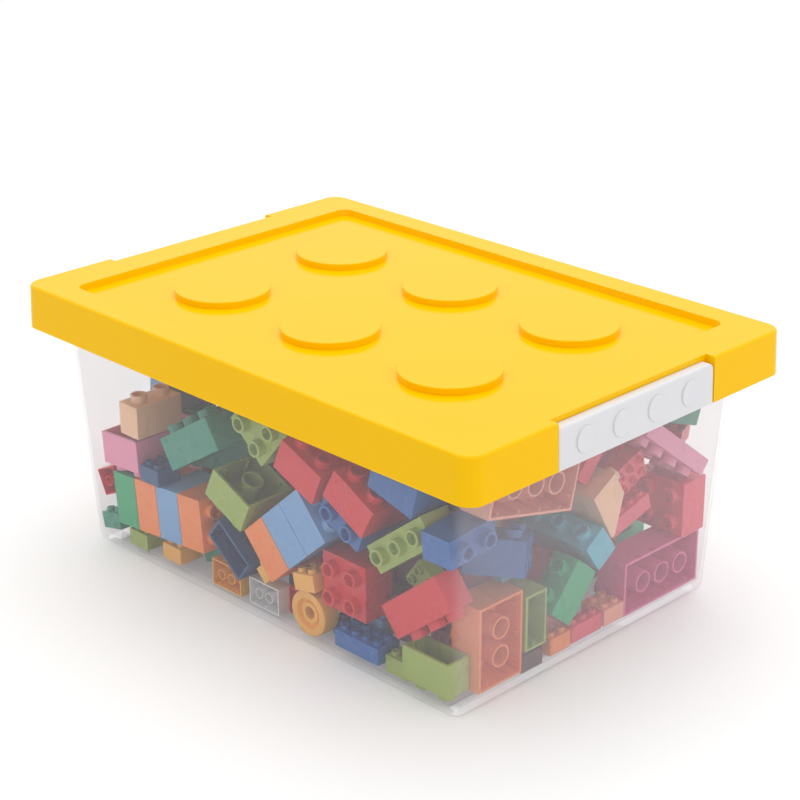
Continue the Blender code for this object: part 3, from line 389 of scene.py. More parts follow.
lidPlan = {
    "half": (173.5 * mm, 120.75 * mm),
    "top": 157 * mm,
    "skirt": 25 * mm,
    "flare": 0.7 * mm,
    "corner": 10 * mm,
    "edge": 1.6 * mm,
    "wall": 2 * mm,
    "endBorder": 26 * mm,
    "sideBorder": 16.6 * mm,
    "panelDepth": 3.8 * mm,
    "panelCorner": 6 * mm,
    "panelLean": 0.8 * mm,
    "studRadius": 26.8 * mm,
    "studEdge": 0.6 * mm,
    "studPitch": (88.4 * mm, 91.6 * mm),
    "notchHalf": 60.4 * mm,
    "notchDepth": 5.9 * mm,
    "notchStep": 5.3 * mm,
    "ledge": 3.2 * mm,
    "ledgeFall": 0.8 * mm,
    "overrun": 2 * mm,
    "cornerSteps": 12,
    "innerSteps": 10,
    "edgeSteps": 5,
    "studSteps": 3,
    "studSides": 96,
    "smooth": 40,
}


def makeLid(plan):
    halfX, halfY = plan["half"]
    top, wall, over, steps = plan["top"], plan["wall"], plan["overrun"], plan["innerSteps"]
    bottom = top - plan["skirt"]
    flareX, flareY = 1 + plan["flare"] / halfX, 1 + plan["flare"] / halfY
    shell = middleBlock("lidShell", halfX, halfY, bottom, top)
    roundEdges(shell, upright, plan["corner"], plan["cornerSteps"])
    roundEdges(shell, atHeight(top), plan["edge"], plan["edgeSteps"])
    spreadAt(shell, bottom, flareX, flareY)
    hollow = middleBlock("lidHollow", halfX - wall, halfY - wall, bottom - over, top - wall)
    roundEdges(hollow, upright, plan["corner"] - wall, steps)
    spreadAt(hollow, bottom - over, flareX, flareY)
    panelX, panelY = halfX - plan["endBorder"], halfY - plan["sideBorder"]
    panelTop = top - plan["panelDepth"]
    tray = middleBlock("lidTray", panelX + wall, panelY + wall, panelTop - wall, top)
    roundEdges(tray, upright, plan["panelCorner"] + wall, steps)
    combine(hollow, tray, "DIFFERENCE")
    combine(shell, hollow, "DIFFERENCE")
    panel = middleBlock("lidPanel", panelX, panelY, panelTop, top + over)
    roundEdges(panel, upright, plan["panelCorner"], steps)
    spreadAt(panel, panelTop, 1 - plan["panelLean"] / panelX, 1 - plan["panelLean"] / panelY)
    combine(shell, panel, "DIFFERENCE")

    radius, sides = plan["studRadius"], plan["studSides"]
    stud = newRound("lidStud", radius, panelTop - wall / 2, top, (0, 0), sides)
    roundEdges(stud, atHeight(top), plan["studEdge"], plan["studSteps"])
    bore = newRound("lidBore", radius - wall, panelTop - wall - over, top - wall, (0, 0), sides)
    places = [Matrix.Translation((column * plan["studPitch"][0], row * plan["studPitch"][1], 0))
              for column in (-1, 0, 1) for row in (-0.5, 0.5)]
    studs = [copyOf(stud, "lidStud", place) for place in places]
    bores = [copyOf(bore, "lidBore", place) for place in places]
    combine(shell, joined("lidStuds", studs), "UNION")
    combine(shell, joined("lidBores", bores), "DIFFERENCE")
    discard(stud, bore)

    face, half = halfX - plan["notchDepth"], plan["notchHalf"]
    ledgeTop = top - plan["notchStep"]
    tip, far = face + plan["ledge"], halfX + plan["flare"] + over
    fall = plan["ledgeFall"] * (far - face) / plan["ledge"]
    for side in (-1, 1):
        def span(near, away, low, high, reach):
            xs = sorted((side * near, side * away))
            return newBlock("lidNotch", (xs[0], -reach, low), (xs[1], reach, high))
        backing = span(face - wall, halfX - wall / 2, bottom + wall, top - wall / 2, half + wall)
        combine(shell, backing, "UNION")
        upper = span(face, far, ledgeTop, top + over, half)
        movePoints(upper, lambda vert: abs(vert.co.x) > face + mm and atHeight(ledgeTop)(vert),
                   (0, 0, -fall))
        combine(shell, upper, "DIFFERENCE")
        combine(shell, span(tip, far, bottom - over, ledgeTop, half), "DIFFERENCE")
        combine(shell, span(face - wall - over, far, bottom - over, ledgeTop - wall, half), "DIFFERENCE")
    return finishMesh(shell, plan["smooth"])


lid = makeLid(lidPlan)
mount(lid, yellowPlastic, "lid", "yellow_plastic", "lid")
print("lid made,", len(lid.data.polygons), "faces")


# Clips

clipPlan = {
    "half": 60.1 * mm,
    "face": 173.5 * mm,
    "flare": 0.7 * mm,
    "thickness": 2.4 * mm,
    "bottom": 132 * mm,
    "top": 154 * mm,
    "corner": 4 * mm,
    "edge": 1.4 * mm,
    "hookEnd": 167.9 * mm,
    "hookUnder": 152 * mm,
    "return": 1.8 * mm,
    "returnReach": 3.2 * mm,
    "returnTop": 4 * mm,  # below the hook
    "lug": 2.5 * mm,
    "ear": 3 * mm,
    "gap": 0.3 * mm,
    "pinRadius": 2 * mm,
    "boss": 4 * mm,
    "hinge": (165.9 * mm, 136.5 * mm),
    "discRadius": 7 * mm,
    "discHeight": 0.6 * mm,
    "discPitch": 27 * mm,
    "discEdge": 0.35 * mm,
    "cornerSteps": 6,
    "edgeSteps": 4,
    "bossRound": 0.98,  # of the boss's radius
    "bossSteps": 8,
    "pinSides": 24,
    "discSides": 48,
    "discSteps": 3,
    "smooth": 40,
}


def beyond(x):
    return lambda edge: all(vert.co.x > x for vert in edge.verts)


def makeClip(plan):
    half, face, bottom, top, hook = (plan[key] for key in ("half", "face", "bottom", "top", "hookUnder"))
    inside = face - plan["thickness"]
    clip = newBlock("clipBody", (plan["hookEnd"], -half, bottom), (face, half, top))
    roundEdges(clip, lambda edge: atHeight(top)(edge) and not alongY(edge),
               plan["corner"], plan["cornerSteps"])
    roundEdges(clip, lambda edge: beyond(face - hair)(edge) and not atHeight(bottom)(edge),
               plan["edge"], plan["edgeSteps"])
    movePoints(clip, lambda vert: vert.co.x > face - 2 * plan["edge"] and atHeight(bottom)(vert),
               (plan["flare"], 0, 0))
    start = plan["hookEnd"] - mm
    hollow = newBlock("clipHollow", (start, -half - mm, bottom - mm), (inside, half + mm, hook))
    combine(clip, hollow, "DIFFERENCE")

    hingeX, hingeZ = plan["hinge"]
    boss = plan["boss"]
    for end in (-1, 1):
        def strip(outer, inner, low, high, near, far):
            ys = sorted((end * outer, end * inner))
            return newBlock("clipRib", (near, ys[0], low), (far, ys[1], high))
        rib = strip(half - hair, half - plan["return"], bottom + hair, hook - plan["returnTop"],
                    inside - plan["returnReach"], inside + mm)
        combine(clip, rib, "UNION")
        outer, inner = half - plan["return"] / 2, half - plan["return"] - plan["lug"]
        plate = strip(outer, inner, hingeZ - boss, hingeZ + boss, hingeX - boss, inside + mm)
        roundEdges(plate, lambda edge: all(vert.co.x < hingeX for vert in edge.verts) and alongY(edge),
                   boss * plan["bossRound"], plan["bossSteps"])
        combine(clip, plate, "UNION")
        reach = sorted((end * (outer - mm), end * (inner - plan["ear"] - 3 * plan["gap"])))
        pin = newRound("clipPin", plan["pinRadius"], *reach, plan["hinge"], plan["pinSides"], "Y")
        combine(clip, pin, "UNION")
    discs = []
    rim = face + plan["flare"] + plan["discHeight"]
    for index in range(4):
        centre = (index - 1.5) * plan["discPitch"], (bottom + top) / 2
        disc = newRound("clipDisc", plan["discRadius"], inside + mm, rim, centre, plan["discSides"], "X")
        roundEdges(disc, beyond(rim - hair), plan["discEdge"], plan["discSteps"])
        discs.append(disc)
    combine(clip, joined("clipDiscs", discs), "UNION")
    return finishMesh(clip, plan["smooth"])


clipRight = makeClip(clipPlan)
clipRight.name = "clipRightBody"
clipLeft = copyOf(clipRight, "clipLeftBody", Matrix.Scale(-1, 4, (1, 0, 0)))
finishMesh(clipLeft, clipPlan["smooth"])
mount(clipRight, whitePlastic, "clip_right", "white_plastic", "clip_right")
mount(clipLeft, whitePlastic, "clip_left", "white_plastic", "clip_left")
print("clips made")


# Tub

tubPlan = {
    "base": (147.3 * mm, 101.4 * mm),  # half length and half width at the floor
    "wall": 2 * mm,
    "floor": 3.8 * mm,  # inside floor above the ground
    "foot": 1.6 * mm,
    "footWidth": 9 * mm,
    "corner": 8 * mm,
    "baseEdge": 4 * mm,
    "rim": 154.7 * mm,
    "flangeTop": 149.1 * mm,
    "flangeThick": 2 * mm,
    "flangeLip": 5 * mm,
    "flangeHalf": (165.3 * mm, 117.85 * mm),
    "flangeCorner": 17 * mm,
    "ribReach": 6 * mm,
    "ribThick": 1.6 * mm,
    "ribBottom": 122 * mm,
    "skirtBottom": 132 * mm,
    "hinge": (165.9 * mm, 136.5 * mm),
    "boss": 4 * mm,
    "hole": 2.3 * mm,
    "earOuter": 55.2 * mm,
    "ear": 3 * mm,
    "earSlant": 5.5 * mm,
    "holeReach": 58 * mm,
    "flangeEdge": 0.4 * mm,
    "flangeSteps": 2,
    "cornerSteps": 10,
    "baseSteps": 6,
    "bossRound": 0.98,  # of the boss's radius
    "bossSteps": 8,
    "holeSides": 24,
    "smooth": 40,
}


def makeTub(plan):
    halfX, halfY = plan["base"]
    rim, wall, floor, corner = plan["rim"], plan["wall"], plan["floor"], plan["corner"]
    steps = plan["cornerSteps"]
    tub = middleBlock("tubShell", halfX, halfY, 0, rim)
    roundEdges(tub, upright, corner, steps)
    spreadAt(tub, rim, 1 + rim * wallDraft / halfX, 1 + rim * wallDraft / halfY)
    roundEdges(tub, atHeight(0), plan["baseEdge"], plan["baseSteps"])
    pushFace(tub, 0, plan["footWidth"], plan["foot"])  # the foot ring

    high, thick, lip = plan["flangeTop"], plan["flangeThick"], plan["flangeLip"]
    flange = middleBlock("tubFlange", *plan["flangeHalf"], high - lip, high)
    roundEdges(flange, upright, plan["flangeCorner"], steps)
    roundEdges(flange, atHeight(high), plan["flangeEdge"], plan["flangeSteps"])
    pushFace(flange, high - lip, thick, lip - thick)  # leaves the lip round the flange
    combine(tub, flange, "UNION")

    cornerX, cornerY = (size + plan["skirtBottom"] * wallDraft - corner for size in plan["base"])
    top, low = high - thick / 2, plan["ribBottom"]
    reach, halfRib = corner + plan["ribReach"], plan["ribThick"] / 2
    rib = newBlock("tubRib", (corner - wall / 2, -halfRib, low), (reach, halfRib, top))
    movePoints(rib, lambda vert: vert.co.x > reach - hair and atHeight(low)(vert), (0, 0, plan["ribReach"]))
    for turn in (1, 3, 5, 7):
        signX = 1 if turn in (1, 7) else -1
        signY = 1 if turn in (1, 3) else -1
        place = Matrix.Translation((signX * cornerX, signY * cornerY, 0))
        combine(tub, copyOf(rib, "tubRib", place @ Matrix.Rotation(turn * math.pi / 4, 4, "Z")), "UNION")
    discard(rib)

    hingeX, hingeZ = plan["hinge"]
    boss = plan["boss"]
    atTop, atBottom = atHeight(top), atHeight(hingeZ - boss)
    for side in (-1, 1):
        for end in (-1, 1):
            ys = sorted((end * plan["earOuter"], end * (plan["earOuter"] - plan["ear"])))
            xs = sorted((side * (hingeX - boss), side * (hingeX + boss)))
            ear = newBlock("tubEar", (xs[0], ys[0], hingeZ - boss), (xs[1], ys[1], top))
            roundEdges(ear, lambda edge: atBottom(edge) and alongY(edge),
                       boss * plan["bossRound"], plan["bossSteps"])
            roundEdges(ear, lambda edge: atTop(edge) and alongY(edge) and edge.verts[0].co.x * side > hingeX,
                       plan["earSlant"], 1)
            movePoints(ear, lambda vert: atTop(vert) and vert.co.x * side < hingeX - boss / 2,
                       (-side * boss, 0, 0))
            combine(tub, ear, "UNION")
        hole = newRound("tubHole", plan["hole"], -plan["holeReach"], plan["holeReach"],
                        (side * hingeX, hingeZ), plan["holeSides"], "Y")
        combine(tub, hole, "DIFFERENCE")

    topX, topY = (size + rim * wallDraft - wall for size in plan["base"])
    floorX, floorY = (size + floor * wallDraft - wall for size in plan["base"])
    cavity = middleBlock("tubCavity", topX, topY, floor, rim + mm)
    roundEdges(cavity, upright, corner - wall, steps)
    spreadAt(cavity, floor, floorX / topX, floorY / topY)
    roundEdges(cavity, atHeight(floor), plan["baseEdge"], plan["baseSteps"])
    combine(tub, cavity, "DIFFERENCE")
    return finishMesh(tub, plan["smooth"])


tub = makeTub(tubPlan)
mount(tub, clearPlastic, "tub_and_bricks", "clear_plastic", "tub")
print("tub made,", len(tub.data.polygons), "faces")


# Toy bricks, each kind modelled once about its body's middle

brickPlan = {
    "module": 15.9 * mm,
    "brick": 19.2 * mm,
    "plate": 9.6 * mm,
    "wall": 1.5 * mm,
    "roof": 1.8 * mm,
    "edge": 0.25 * mm,
    "edgeSteps": 2,
    "studRadius": 4.7 * mm,
    "studHeight": 4.5 * mm,
    "studWall": 1.4 * mm,
    "studEdge": 0.3 * mm,
    "studRoot": 0.2 * mm,
    "studHollow": 0.85,  # of its height
    "studSides": 24,
    "tubeRadius": 6.2 * mm,
    "tubeWall": 1.0 * mm,
    "tubeRise": 0.05 * mm,
    "tubeRoof": 0.5 * mm,
    "ribThick": 0.9 * mm,
    "ribReach": 1.6 * mm,
    "ribRise": 1.5 * mm,
    "overlap": 0.1 * mm,  # of tubes and ribs with the roof
    "lip": 3 * mm,
    "small": 0.503,  # how large the small bricks are
    "smooth": 35,
    "wheel": {
        "radius": 13.2 * mm,
        "width": 11 * mm,
        "bore": 3.6 * mm,
        "dish": 3 * mm,
        "tyre": 4.5 * mm,
        "hubEdge": 0.6 * mm,
        "tyreEdge": 0.8 * mm,
        "treadEdge": 0.4 * mm,
        "treadFall": 0.5 * mm,
        "steps": 40,
    },
}


def gridPlaces(along, across):
    pitch = brickPlan["module"]
    return [((column - (along - 1) / 2) * pitch, (row - (across - 1) / 2) * pitch)
            for column in range(along) for row in range(across)]


def makeStud(plan):  # a ring with a hollow head
    high = plan["studHeight"]
    stud = newRound("stud", plan["studRadius"], -plan["studRoot"], high, (0, 0), plan["studSides"])
    roundEdges(stud, atHeight(high), plan["studEdge"], plan["edgeSteps"])
    pushFace(stud, high, plan["studWall"] - plan["studEdge"], -high * plan["studHollow"])
    return stud


def makeTube(plan, low, high):  # open below
    tube = newRound("tube", plan["tubeRadius"], low, high, (0, 0), plan["studSides"])
    pushFace(tube, low, plan["tubeWall"], high - low - plan["tubeRoof"])
    return tube


def withStuds(body, places, height):
    studs = [copyOf(studMaster, "brickStud", Matrix.Translation((*place, height))) for place in places]
    return [body] + studs


def makeBrick(along, across, height):
    plan = brickPlan
    halfX, halfY = along * plan["module"] / 2, across * plan["module"] / 2
    low, high = -height / 2, height / 2
    body = middleBlock("brickBody", halfX, halfY, low, high)
    pushFace(body, low, plan["wall"], height - plan["roof"])

    def outside(edge):
        return all(max(abs(vert.co.x) - halfX, abs(vert.co.y) - halfY) > -hair for vert in edge.verts)
    roundEdges(body, outside, plan["edge"], plan["edgeSteps"])
    parts = withStuds(body, gridPlaces(along, across), high)
    ceiling = high - plan["roof"] + plan["overlap"]
    if across > 1:
        tube = makeTube(plan, low + plan["tubeRise"], ceiling)
        for place in gridPlaces(along - 1, across - 1):
            parts.append(copyOf(tube, "brickTube", Matrix.Translation((*place, 0))))
        discard(tube)
    start, thick = low + plan["ribRise"], plan["ribThick"] / 2
    for x, y in gridPlaces(along, across):  # the ribs that grip each stud, two on the outer walls
        for axis, value, half in (("x", x, halfX), ("y", y, halfY)):
            inward = abs(abs(value) - (half - plan["module"] / 2)) > plan["overlap"]
            if inward or (axis == "y" and across == 1):
                continue
            side = 1 if value > 0 else -1
            inner, outer = half - plan["wall"] - plan["ribReach"], half - plan["wall"] / 2
            near, far = sorted((side * inner, side * outer))
            if axis == "x":
                rib = newBlock("brickRib", (near, y - thick, start), (far, y + thick, ceiling))
            else:
                rib = newBlock("brickRib", (x - thick, near, start), (x + thick, far, ceiling))
            parts.append(rib)
    return finishMesh(joined("brickMaster", parts), plan["smooth"])


def makeSlope():  # an outline in XZ drawn out across two modules, with its studs on the high side
    plan = brickPlan
    half, low, high = plan["module"], -plan["brick"] / 2, plan["brick"] / 2
    profile = [(-half, low), (half, low), (half, low + plan["lip"]), (0, high), (-half, high)]
    mesh = bpy.data.meshes.new("shapedBrick")
    shape = bmesh.new()
    shape.faces.new([shape.verts.new((x, -half, z)) for x, z in profile])
    shape.to_mesh(mesh)
    shape.free()
    body = newObject("shapedBrick", mesh)
    choose(body, "FACE", lambda face: True)
    bpy.ops.mesh.extrude_region_move(TRANSFORM_OT_translate={"value": (0, 2 * half, 0)})
    bpy.ops.mesh.select_all(action="SELECT")
    bpy.ops.mesh.normals_make_consistent(inside=False)
    putDown()
    sharp = 0.6  # radians between the faces of an edge that is rounded
    roundEdges(body, lambda edge: edge.calc_face_angle(0) > sharp, plan["edge"], plan["edgeSteps"])
    parts = withStuds(body, [(-half / 2, -half / 2), (-half / 2, half / 2)], high)
    return finishMesh(joined("shapedBrick", parts), plan["smooth"])


def makeWheel():  # an outline from the bore to the tread, spun about the axle
    size = brickPlan["wheel"]
    half, radius, bore, dish = size["width"] / 2, size["radius"], size["bore"], size["dish"]
    edge, fall, slant = size["treadEdge"], size["treadFall"], size["tyreEdge"]
    tread, hub = radius - size["tyre"], bore + dish
    oneSide = [
        (bore, half - dish / 2), (hub - size["hubEdge"], half - dish / 2), (hub, half - dish),
        (tread - slant, half - dish), (tread, half - edge), (tread + slant, half),
        (radius - dish / 2, half), (radius - edge, half - fall), (radius, half - dish / 2),
    ]
    profile = oneSide + [(x, -z) for x, z in reversed(oneSide)]
    count = len(profile)
    mesh = bpy.data.meshes.new("wheel")
    mesh.from_pydata([(x, 0, z) for x, z in profile], [(i, (i + 1) % count) for i in range(count)], [])
    wheel = newObject("wheel", mesh)
    choose(wheel, "EDGE", lambda edge: True)
    bpy.ops.mesh.spin(steps=size["steps"], angle=2 * math.pi, center=(0, 0, 0), axis=(0, 0, 1))
    bpy.ops.mesh.select_all(action="SELECT")
    bpy.ops.mesh.remove_doubles(threshold=weld)
    bpy.ops.mesh.normals_make_consistent(inside=False)
    putDown()
    return finishMesh(wheel, brickPlan["smooth"])


studMaster = makeStud(brickPlan)
masters = {}


def masterOf(kind):  # a kind is a form, the studs along and across, and a share of the large format
    if kind not in masters:
        form, along, across, share = kind
        if form == "slope":
            masters[kind] = makeSlope()
        elif form == "wheel":
            masters[kind] = makeWheel()
        else:
            masters[kind] = makeBrick(along, across, brickPlan[form])
        masters[kind].data.transform(Matrix.Scale(share, 4))
    return masters[kind]


measurePlan = {
    "speck": 1e-10,  # square metres; smaller triangles are left out
    "alike": 0.9995,  # from this cosine on, two directions are one
    "facing": 0.999,
    "upward": 0.9,
    "square": 0.01,  # below this cosine they are square to each other
    "near": 0.05 * mm,
    "roof": 0.3,  # the roof round the studs has at least this share of their tops
    "brick": 1.2,  # what is higher than this many plates is a brick
    "whole": 0.02,  # how far off a whole storey a top may be, in storeys
}


def trianglesOf(node):
    mesh = node.data
    mesh.calc_loop_triangles()
    points = numpy.array([vert.co for vert in mesh.vertices])
    corners = points[numpy.array([list(triangle.vertices) for triangle in mesh.loop_triangles])]
    cross = numpy.cross(corners[:, 1] - corners[:, 0], corners[:, 2] - corners[:, 0])
    areas = numpy.linalg.norm(cross, axis=1) / 2
    keep = areas > measurePlan["speck"]
    return points, corners[keep].mean(axis=1), cross[keep] / (2 * areas[keep, None]), areas[keep]


def mainAxes(normals, areas):  # the two directions that most of the surface faces, and one square to both
    alike = numpy.abs(normals @ normals.T) > measurePlan["alike"]
    weight = alike @ areas
    first = normals[numpy.argmax(weight)]
    square = numpy.abs(normals @ first) < measurePlan["square"]
    second = normals[numpy.argmax(weight * square)]
    return [first, second, numpy.cross(first, second)]


def placeOfBrick(node):  # how a brick of the frame lies: its kind, and the matrix from its own middle
    plan = measurePlan
    points, middles, normals, areas = trianglesOf(node)
    if "wheel" in node.name:
        spread = numpy.linalg.eigh(numpy.cov((points - points.mean(axis=0)).T))[1]
        axes = [spread[:, 2], spread[:, 1], spread[:, 0]]
        centre = sum(axis * ((points @ axis).min() + (points @ axis).max()) / 2 for axis in axes)
        return ("wheel", 0, 0, 1), axes, centre
    main = mainAxes(normals, areas)
    for share, index, way in itertools.product((1, brickPlan["small"]), range(3), (1, -1)):
        up = main[index] * way
        size = {key: brickPlan[key] * share for key in ("module", "plate", "studHeight")}
        heights, top, facing = middles @ up, (points @ up).max(), normals @ up > plan["facing"]
        caps = facing & (heights > top - plan["near"])
        roof = facing & (numpy.abs(heights - top + size["studHeight"]) < plan["near"])
        if not caps.any() or areas[roof].sum() <= plan["roof"] * areas[caps].sum():
            continue
        flat = [other for spot, other in enumerate(main) if spot != index]
        spans = [numpy.ptp(points @ other) for other in flat]
        if spans[0] < spans[1]:
            flat.reverse()
            spans.reverse()
        height = top - size["studHeight"] - (points @ up).min()
        studs = (middles[caps] * areas[caps, None]).sum(axis=0) / areas[caps].sum()
        centre = up * ((points @ up).min() + height / 2)
        for other in flat:
            centre = centre + other * ((points @ other).max() + (points @ other).min()) / 2
        if "slope" in node.name:
            if abs((studs - centre) @ flat[0]) < abs((studs - centre) @ flat[1]):
                flat.reverse()
            if (studs - centre) @ flat[0] > 0:
                flat[0] = -flat[0]
            kind = ("slope", 2, 2, share)
        else:
            form = "brick" if height > plan["brick"] * size["plate"] else "plate"
            kind = (form, round(spans[0] / size["module"]), round(spans[1] / size["module"]), share)
        return kind, [flat[0], numpy.cross(up, flat[0]), up], centre
    raise ValueError("no studs found on " + node.name)


def matrixOf(axes, centre):
    turn = Matrix([list(axis) for axis in axes]).transposed()
    if turn.determinant() < 0:
        turn = turn @ Matrix.Diagonal((1, -1, 1))
    return Matrix.Translation(Vector(centre)) @ turn.to_4x4()


slotOf = {row["node"]: row["material_slot"] for row in frame["record"]["subparts"]}
towers = []
for name, node in frame["nodes"].items():
    if name in ("tub", "lid", "clip_right", "clip_left"):
        continue
    if name.startswith("built_bricks"):
        towers.append(node)
        continue
    kind, axes, centre = placeOfBrick(node)
    piece = copyOf(masterOf(kind), name + "_moulded", matrixOf(axes, centre))
    slot = slotOf[name]
    mount(piece, brickPlastics[slot.replace("_brick", "")], "tub_and_bricks", slot, name)
print("loose bricks made")


# Loose bricks beyond the frame's nodes, each in the free spot nearest to its place in the photograph

extraPlan = {
    "half": (145.3 * mm, 99.4 * mm),  # of the tub's inside at its floor
    "floor": 3.8 * mm,
    "rim": 154.7 * mm,
    "gap": 0.25 * mm,
    "step": 2 * mm,
    "around": 6,  # steps that are tried each way
    "inward": 15,
    "sideways": 0.6,  # how unwelcome a step is, against one up or down
    "behind": 1.2,
}
walls = {
    "front": (Vector((1, 0, 0)), Vector((0, -1, 0))),
    "right": (Vector((0, 1, 0)), Vector((1, 0, 0))),
}
faces = {  # where the brick's own axes point, as right, up and towards the wall
    "side": ((1, 0, 0), (0, 0, -1), (0, 1, 0)),
    "end": ((0, 0, 1), (1, 0, 0), (0, 1, 0)),
    "studs": ((1, 0, 0), (0, 1, 0), (0, 0, 1)),
    "under": ((1, 0, 0), (0, -1, 0), (0, 0, -1)),
}
small = brickPlan["small"]
extraShares = {  # name, kind, colour, (along, height, millimetres behind the wall), face, spin
    "front": [
        ("navyBit", ("brick", 2, 1, small), "navy", (0.365, 0.035, 0), "end", 0),
        ("oliveLowBrick", ("brick", 2, 2, small), "olive", (0.68, 0.035, 0), "side", 0),
        ("amberWedge", ("slope", 2, 2, small), "amber", (0.035, 0.14, 0), "side", 45),
        ("amberLowBrick", ("brick", 2, 2, small), "amber", (-0.555, 0.035, 0), "side", 0),
        ("greenLowBrick", ("brick", 3, 2, small), "teal", (-0.42, 0.05, 2), "side", 14),
        ("orangeLeftBrick", ("brick", 2, 2, small), "orange", (-0.90, 0.165, 0), "side", 90),
        ("yellowLowPlate", ("plate", 3, 2, small), "amber", (-0.90, 0.015, 0), "side", 0),
        ("navyBehindOlive", ("brick", 2, 2, 1), "navy", (-0.16, 0.64, 14), "under", -15),
        ("crimsonBehindRed", ("brick", 2, 2, 1), "crimson", (0.33, 0.74, 24), "side", -10),
        ("brownGapBrick", ("brick", 2, 2, 1), "brown", (0.60, 0.34, 18), "side", 10),
        ("tealLowLong", ("brick", 4, 2, 1), "teal", (-0.45, 0.42, 26), "side", 12),
        ("crimsonGapBrick", ("brick", 2, 2, 1), "crimson", (-0.27, 0.30, 18), "side", 20),
        ("orangeGapBrick", ("brick", 2, 2, 1), "orange", (-0.20, 0.13, 20), "side", 0),
        ("blueHighBrick", ("brick", 2, 2, 1), "blue", (0.62, 0.72, 12), "studs", 10),
    ],
    "right": [
        ("cyanBit", ("brick", 2, 1, small), "cyan", (-0.545, 0.345, 0), "side", 0),
        ("greenHighBrick", ("brick", 3, 2, small), "teal", (0.76, 0.715, 4), "side", -20),
        ("redGapBrick", ("brick", 2, 2, 1), "red", (0.28, 0.22, 16), "side", 20),
        ("redFootBrick", ("brick", 3, 2, small), "red", (-0.26, 0.04, 14), "side", 0),
        ("crimsonHighOne", ("brick", 4, 2, small), "crimson", (0.22, 0.62, 10), "side", 50),
        ("crimsonHighTwo", ("brick", 3, 2, small), "crimson", (0.36, 0.55, 8), "studs", 20),
        ("crimsonHighThree", ("brick", 4, 2, small), "crimson", (0.30, 0.40, 6), "side", 15),
        ("crimsonHighFour", ("brick", 3, 2, small), "crimson", (0.50, 0.66, 12), "side", -30),
        ("crimsonFootBrick", ("brick", 3, 1, small), "crimson", (0.03, 0.055, 1), "side", 0),
        ("orangeFootBrick", ("brick", 2, 1, small), "orange", (-0.20, 0.05, 1), "side", 0),
        ("redFootSmall", ("brick", 2, 2, small), "red", (-0.3, 0.04, 6), "side", 0),
        ("tealGapBrick", ("brick", 3, 2, 1), "teal", (-0.30, 0.56, 20), "side", -25),
    ],
}


def boxOf(kind):  # the room a brick takes up, from its own middle
    form, along, across, share = kind
    plan, gap = brickPlan, extraPlan["gap"]
    high = plan["plate" if form == "plate" else "brick"] / 2
    half = Vector((along * plan["module"] / 2, across * plan["module"] / 2, high)) * share
    rise = 0 if form == "block" else plan["studHeight"] * share
    return -half - Vector((gap, gap, gap)), half + Vector((gap, gap, gap + rise))


boxSides = [  # facing outward
    (0, 1, 3, 2), (4, 6, 7, 5),
    (0, 4, 5, 1), (2, 3, 7, 6),
    (0, 2, 6, 4), (1, 5, 7, 3),
]


def cornersOf(kind, matrix):
    return [matrix @ Vector(corner) for corner in itertools.product(*zip(*boxOf(kind)))]


def treeOf(pieces):
    points, sides = [], []
    for piece in pieces:
        start = len(points)
        points += [vert.co for vert in piece.data.vertices]
        sides += [[start + index for index in side.vertices] for side in piece.data.polygons]
    return BVHTree.FromPolygons(points, sides)


class Pile:
    def __init__(self, pieces):
        self.still = treeOf(pieces)
        self.points, self.sides, self.loose = [], [], None

    def isFree(self, kind, matrix):
        corners = cornersOf(kind, matrix)
        if min(corner.z for corner in corners) < extraPlan["floor"]:
            return False
        tree = BVHTree.FromPolygons(corners, boxSides)
        for other in (self.still, self.loose):
            if other:
                place, normal, _, _ = other.find_nearest(matrix.translation)
                if other.overlap(tree) or (matrix.translation - place).dot(normal) < 0:
                    return False
        return True

    def lay(self, kind, matrix):
        start = len(self.points)
        self.points += cornersOf(kind, matrix)
        self.sides += [[start + index for index in side] for side in boxSides]
        self.loose = BVHTree.FromPolygons(self.points, self.sides)


def layExtra(pile, wall, name, kind, colour, place, face, spin):
    plan = extraPlan
    right, out = walls[wall]
    seen = Matrix((right, Vector((0, 0, 1)), out)).transposed()
    turn = (seen @ Matrix.Rotation(math.radians(spin), 3, "Z") @ Matrix(faces[face]).transposed()).to_4x4()
    along, deep = plan["half"] if wall == "front" else reversed(plan["half"])
    height = plan["floor"] + place[1] * (plan["rim"] - plan["floor"])
    corners = cornersOf(kind, turn)
    reach, lowest = max(corner.dot(out) for corner in corners), min(corner.z for corner in corners)
    inside = deep + (height + lowest) * wallDraft - place[2] * mm - plan["gap"]
    wanted = right * place[0] * along + out * (inside - reach) + Vector((0, 0, height))
    around = range(-plan["around"], plan["around"] + 1)
    tries = sorted(itertools.product(around, around, range(plan["inward"] + 1)), key=lambda steps: (
        abs(steps[0]) * plan["sideways"] + abs(steps[1]) + steps[2] * plan["behind"]))
    for shift, rise, depth in tries:
        spot = wanted + (right * shift + Vector((0, 0, rise)) - out * depth) * plan["step"]
        matrix = Matrix.Translation(spot) @ turn
        if pile.isFree(kind, matrix):
            pile.lay(kind, matrix)
            piece = copyOf(masterOf(kind), name, matrix)
            mount(piece, brickPlastics[colour], "tub_and_bricks", colour + "_brick")
            return
    print("no room for", name)


pile = Pile([node for name, node in frame["nodes"].items()
             if not name.startswith(("built_bricks", "lid", "clip"))])
for wall, rows in extraShares.items():
    for row in rows:
        layExtra(pile, wall, *row)
print("extra bricks laid")


# Towers of bricks clicked together, each drawn brick by brick

towerPlan = {
    "seed": 5,
    "colours": [
        "red", "blue", "olive", "orange", "light_blue", "crimson",
        "green", "tan", "pink", "navy", "teal",
    ],
    "gap": 0.12 * mm,
    "pairs": 0.5,  # how often two cells are one long brick
    "inset": 0.97,  # of each brick's room, so that bricks clicked together don't count as touching
    "left": -112 * mm,  # the cells beyond these are left to the heap
    "back": 66 * mm,
    "slack": -60 * mm,  # to the left of this the towers are lower
    "storeys": 4,
}


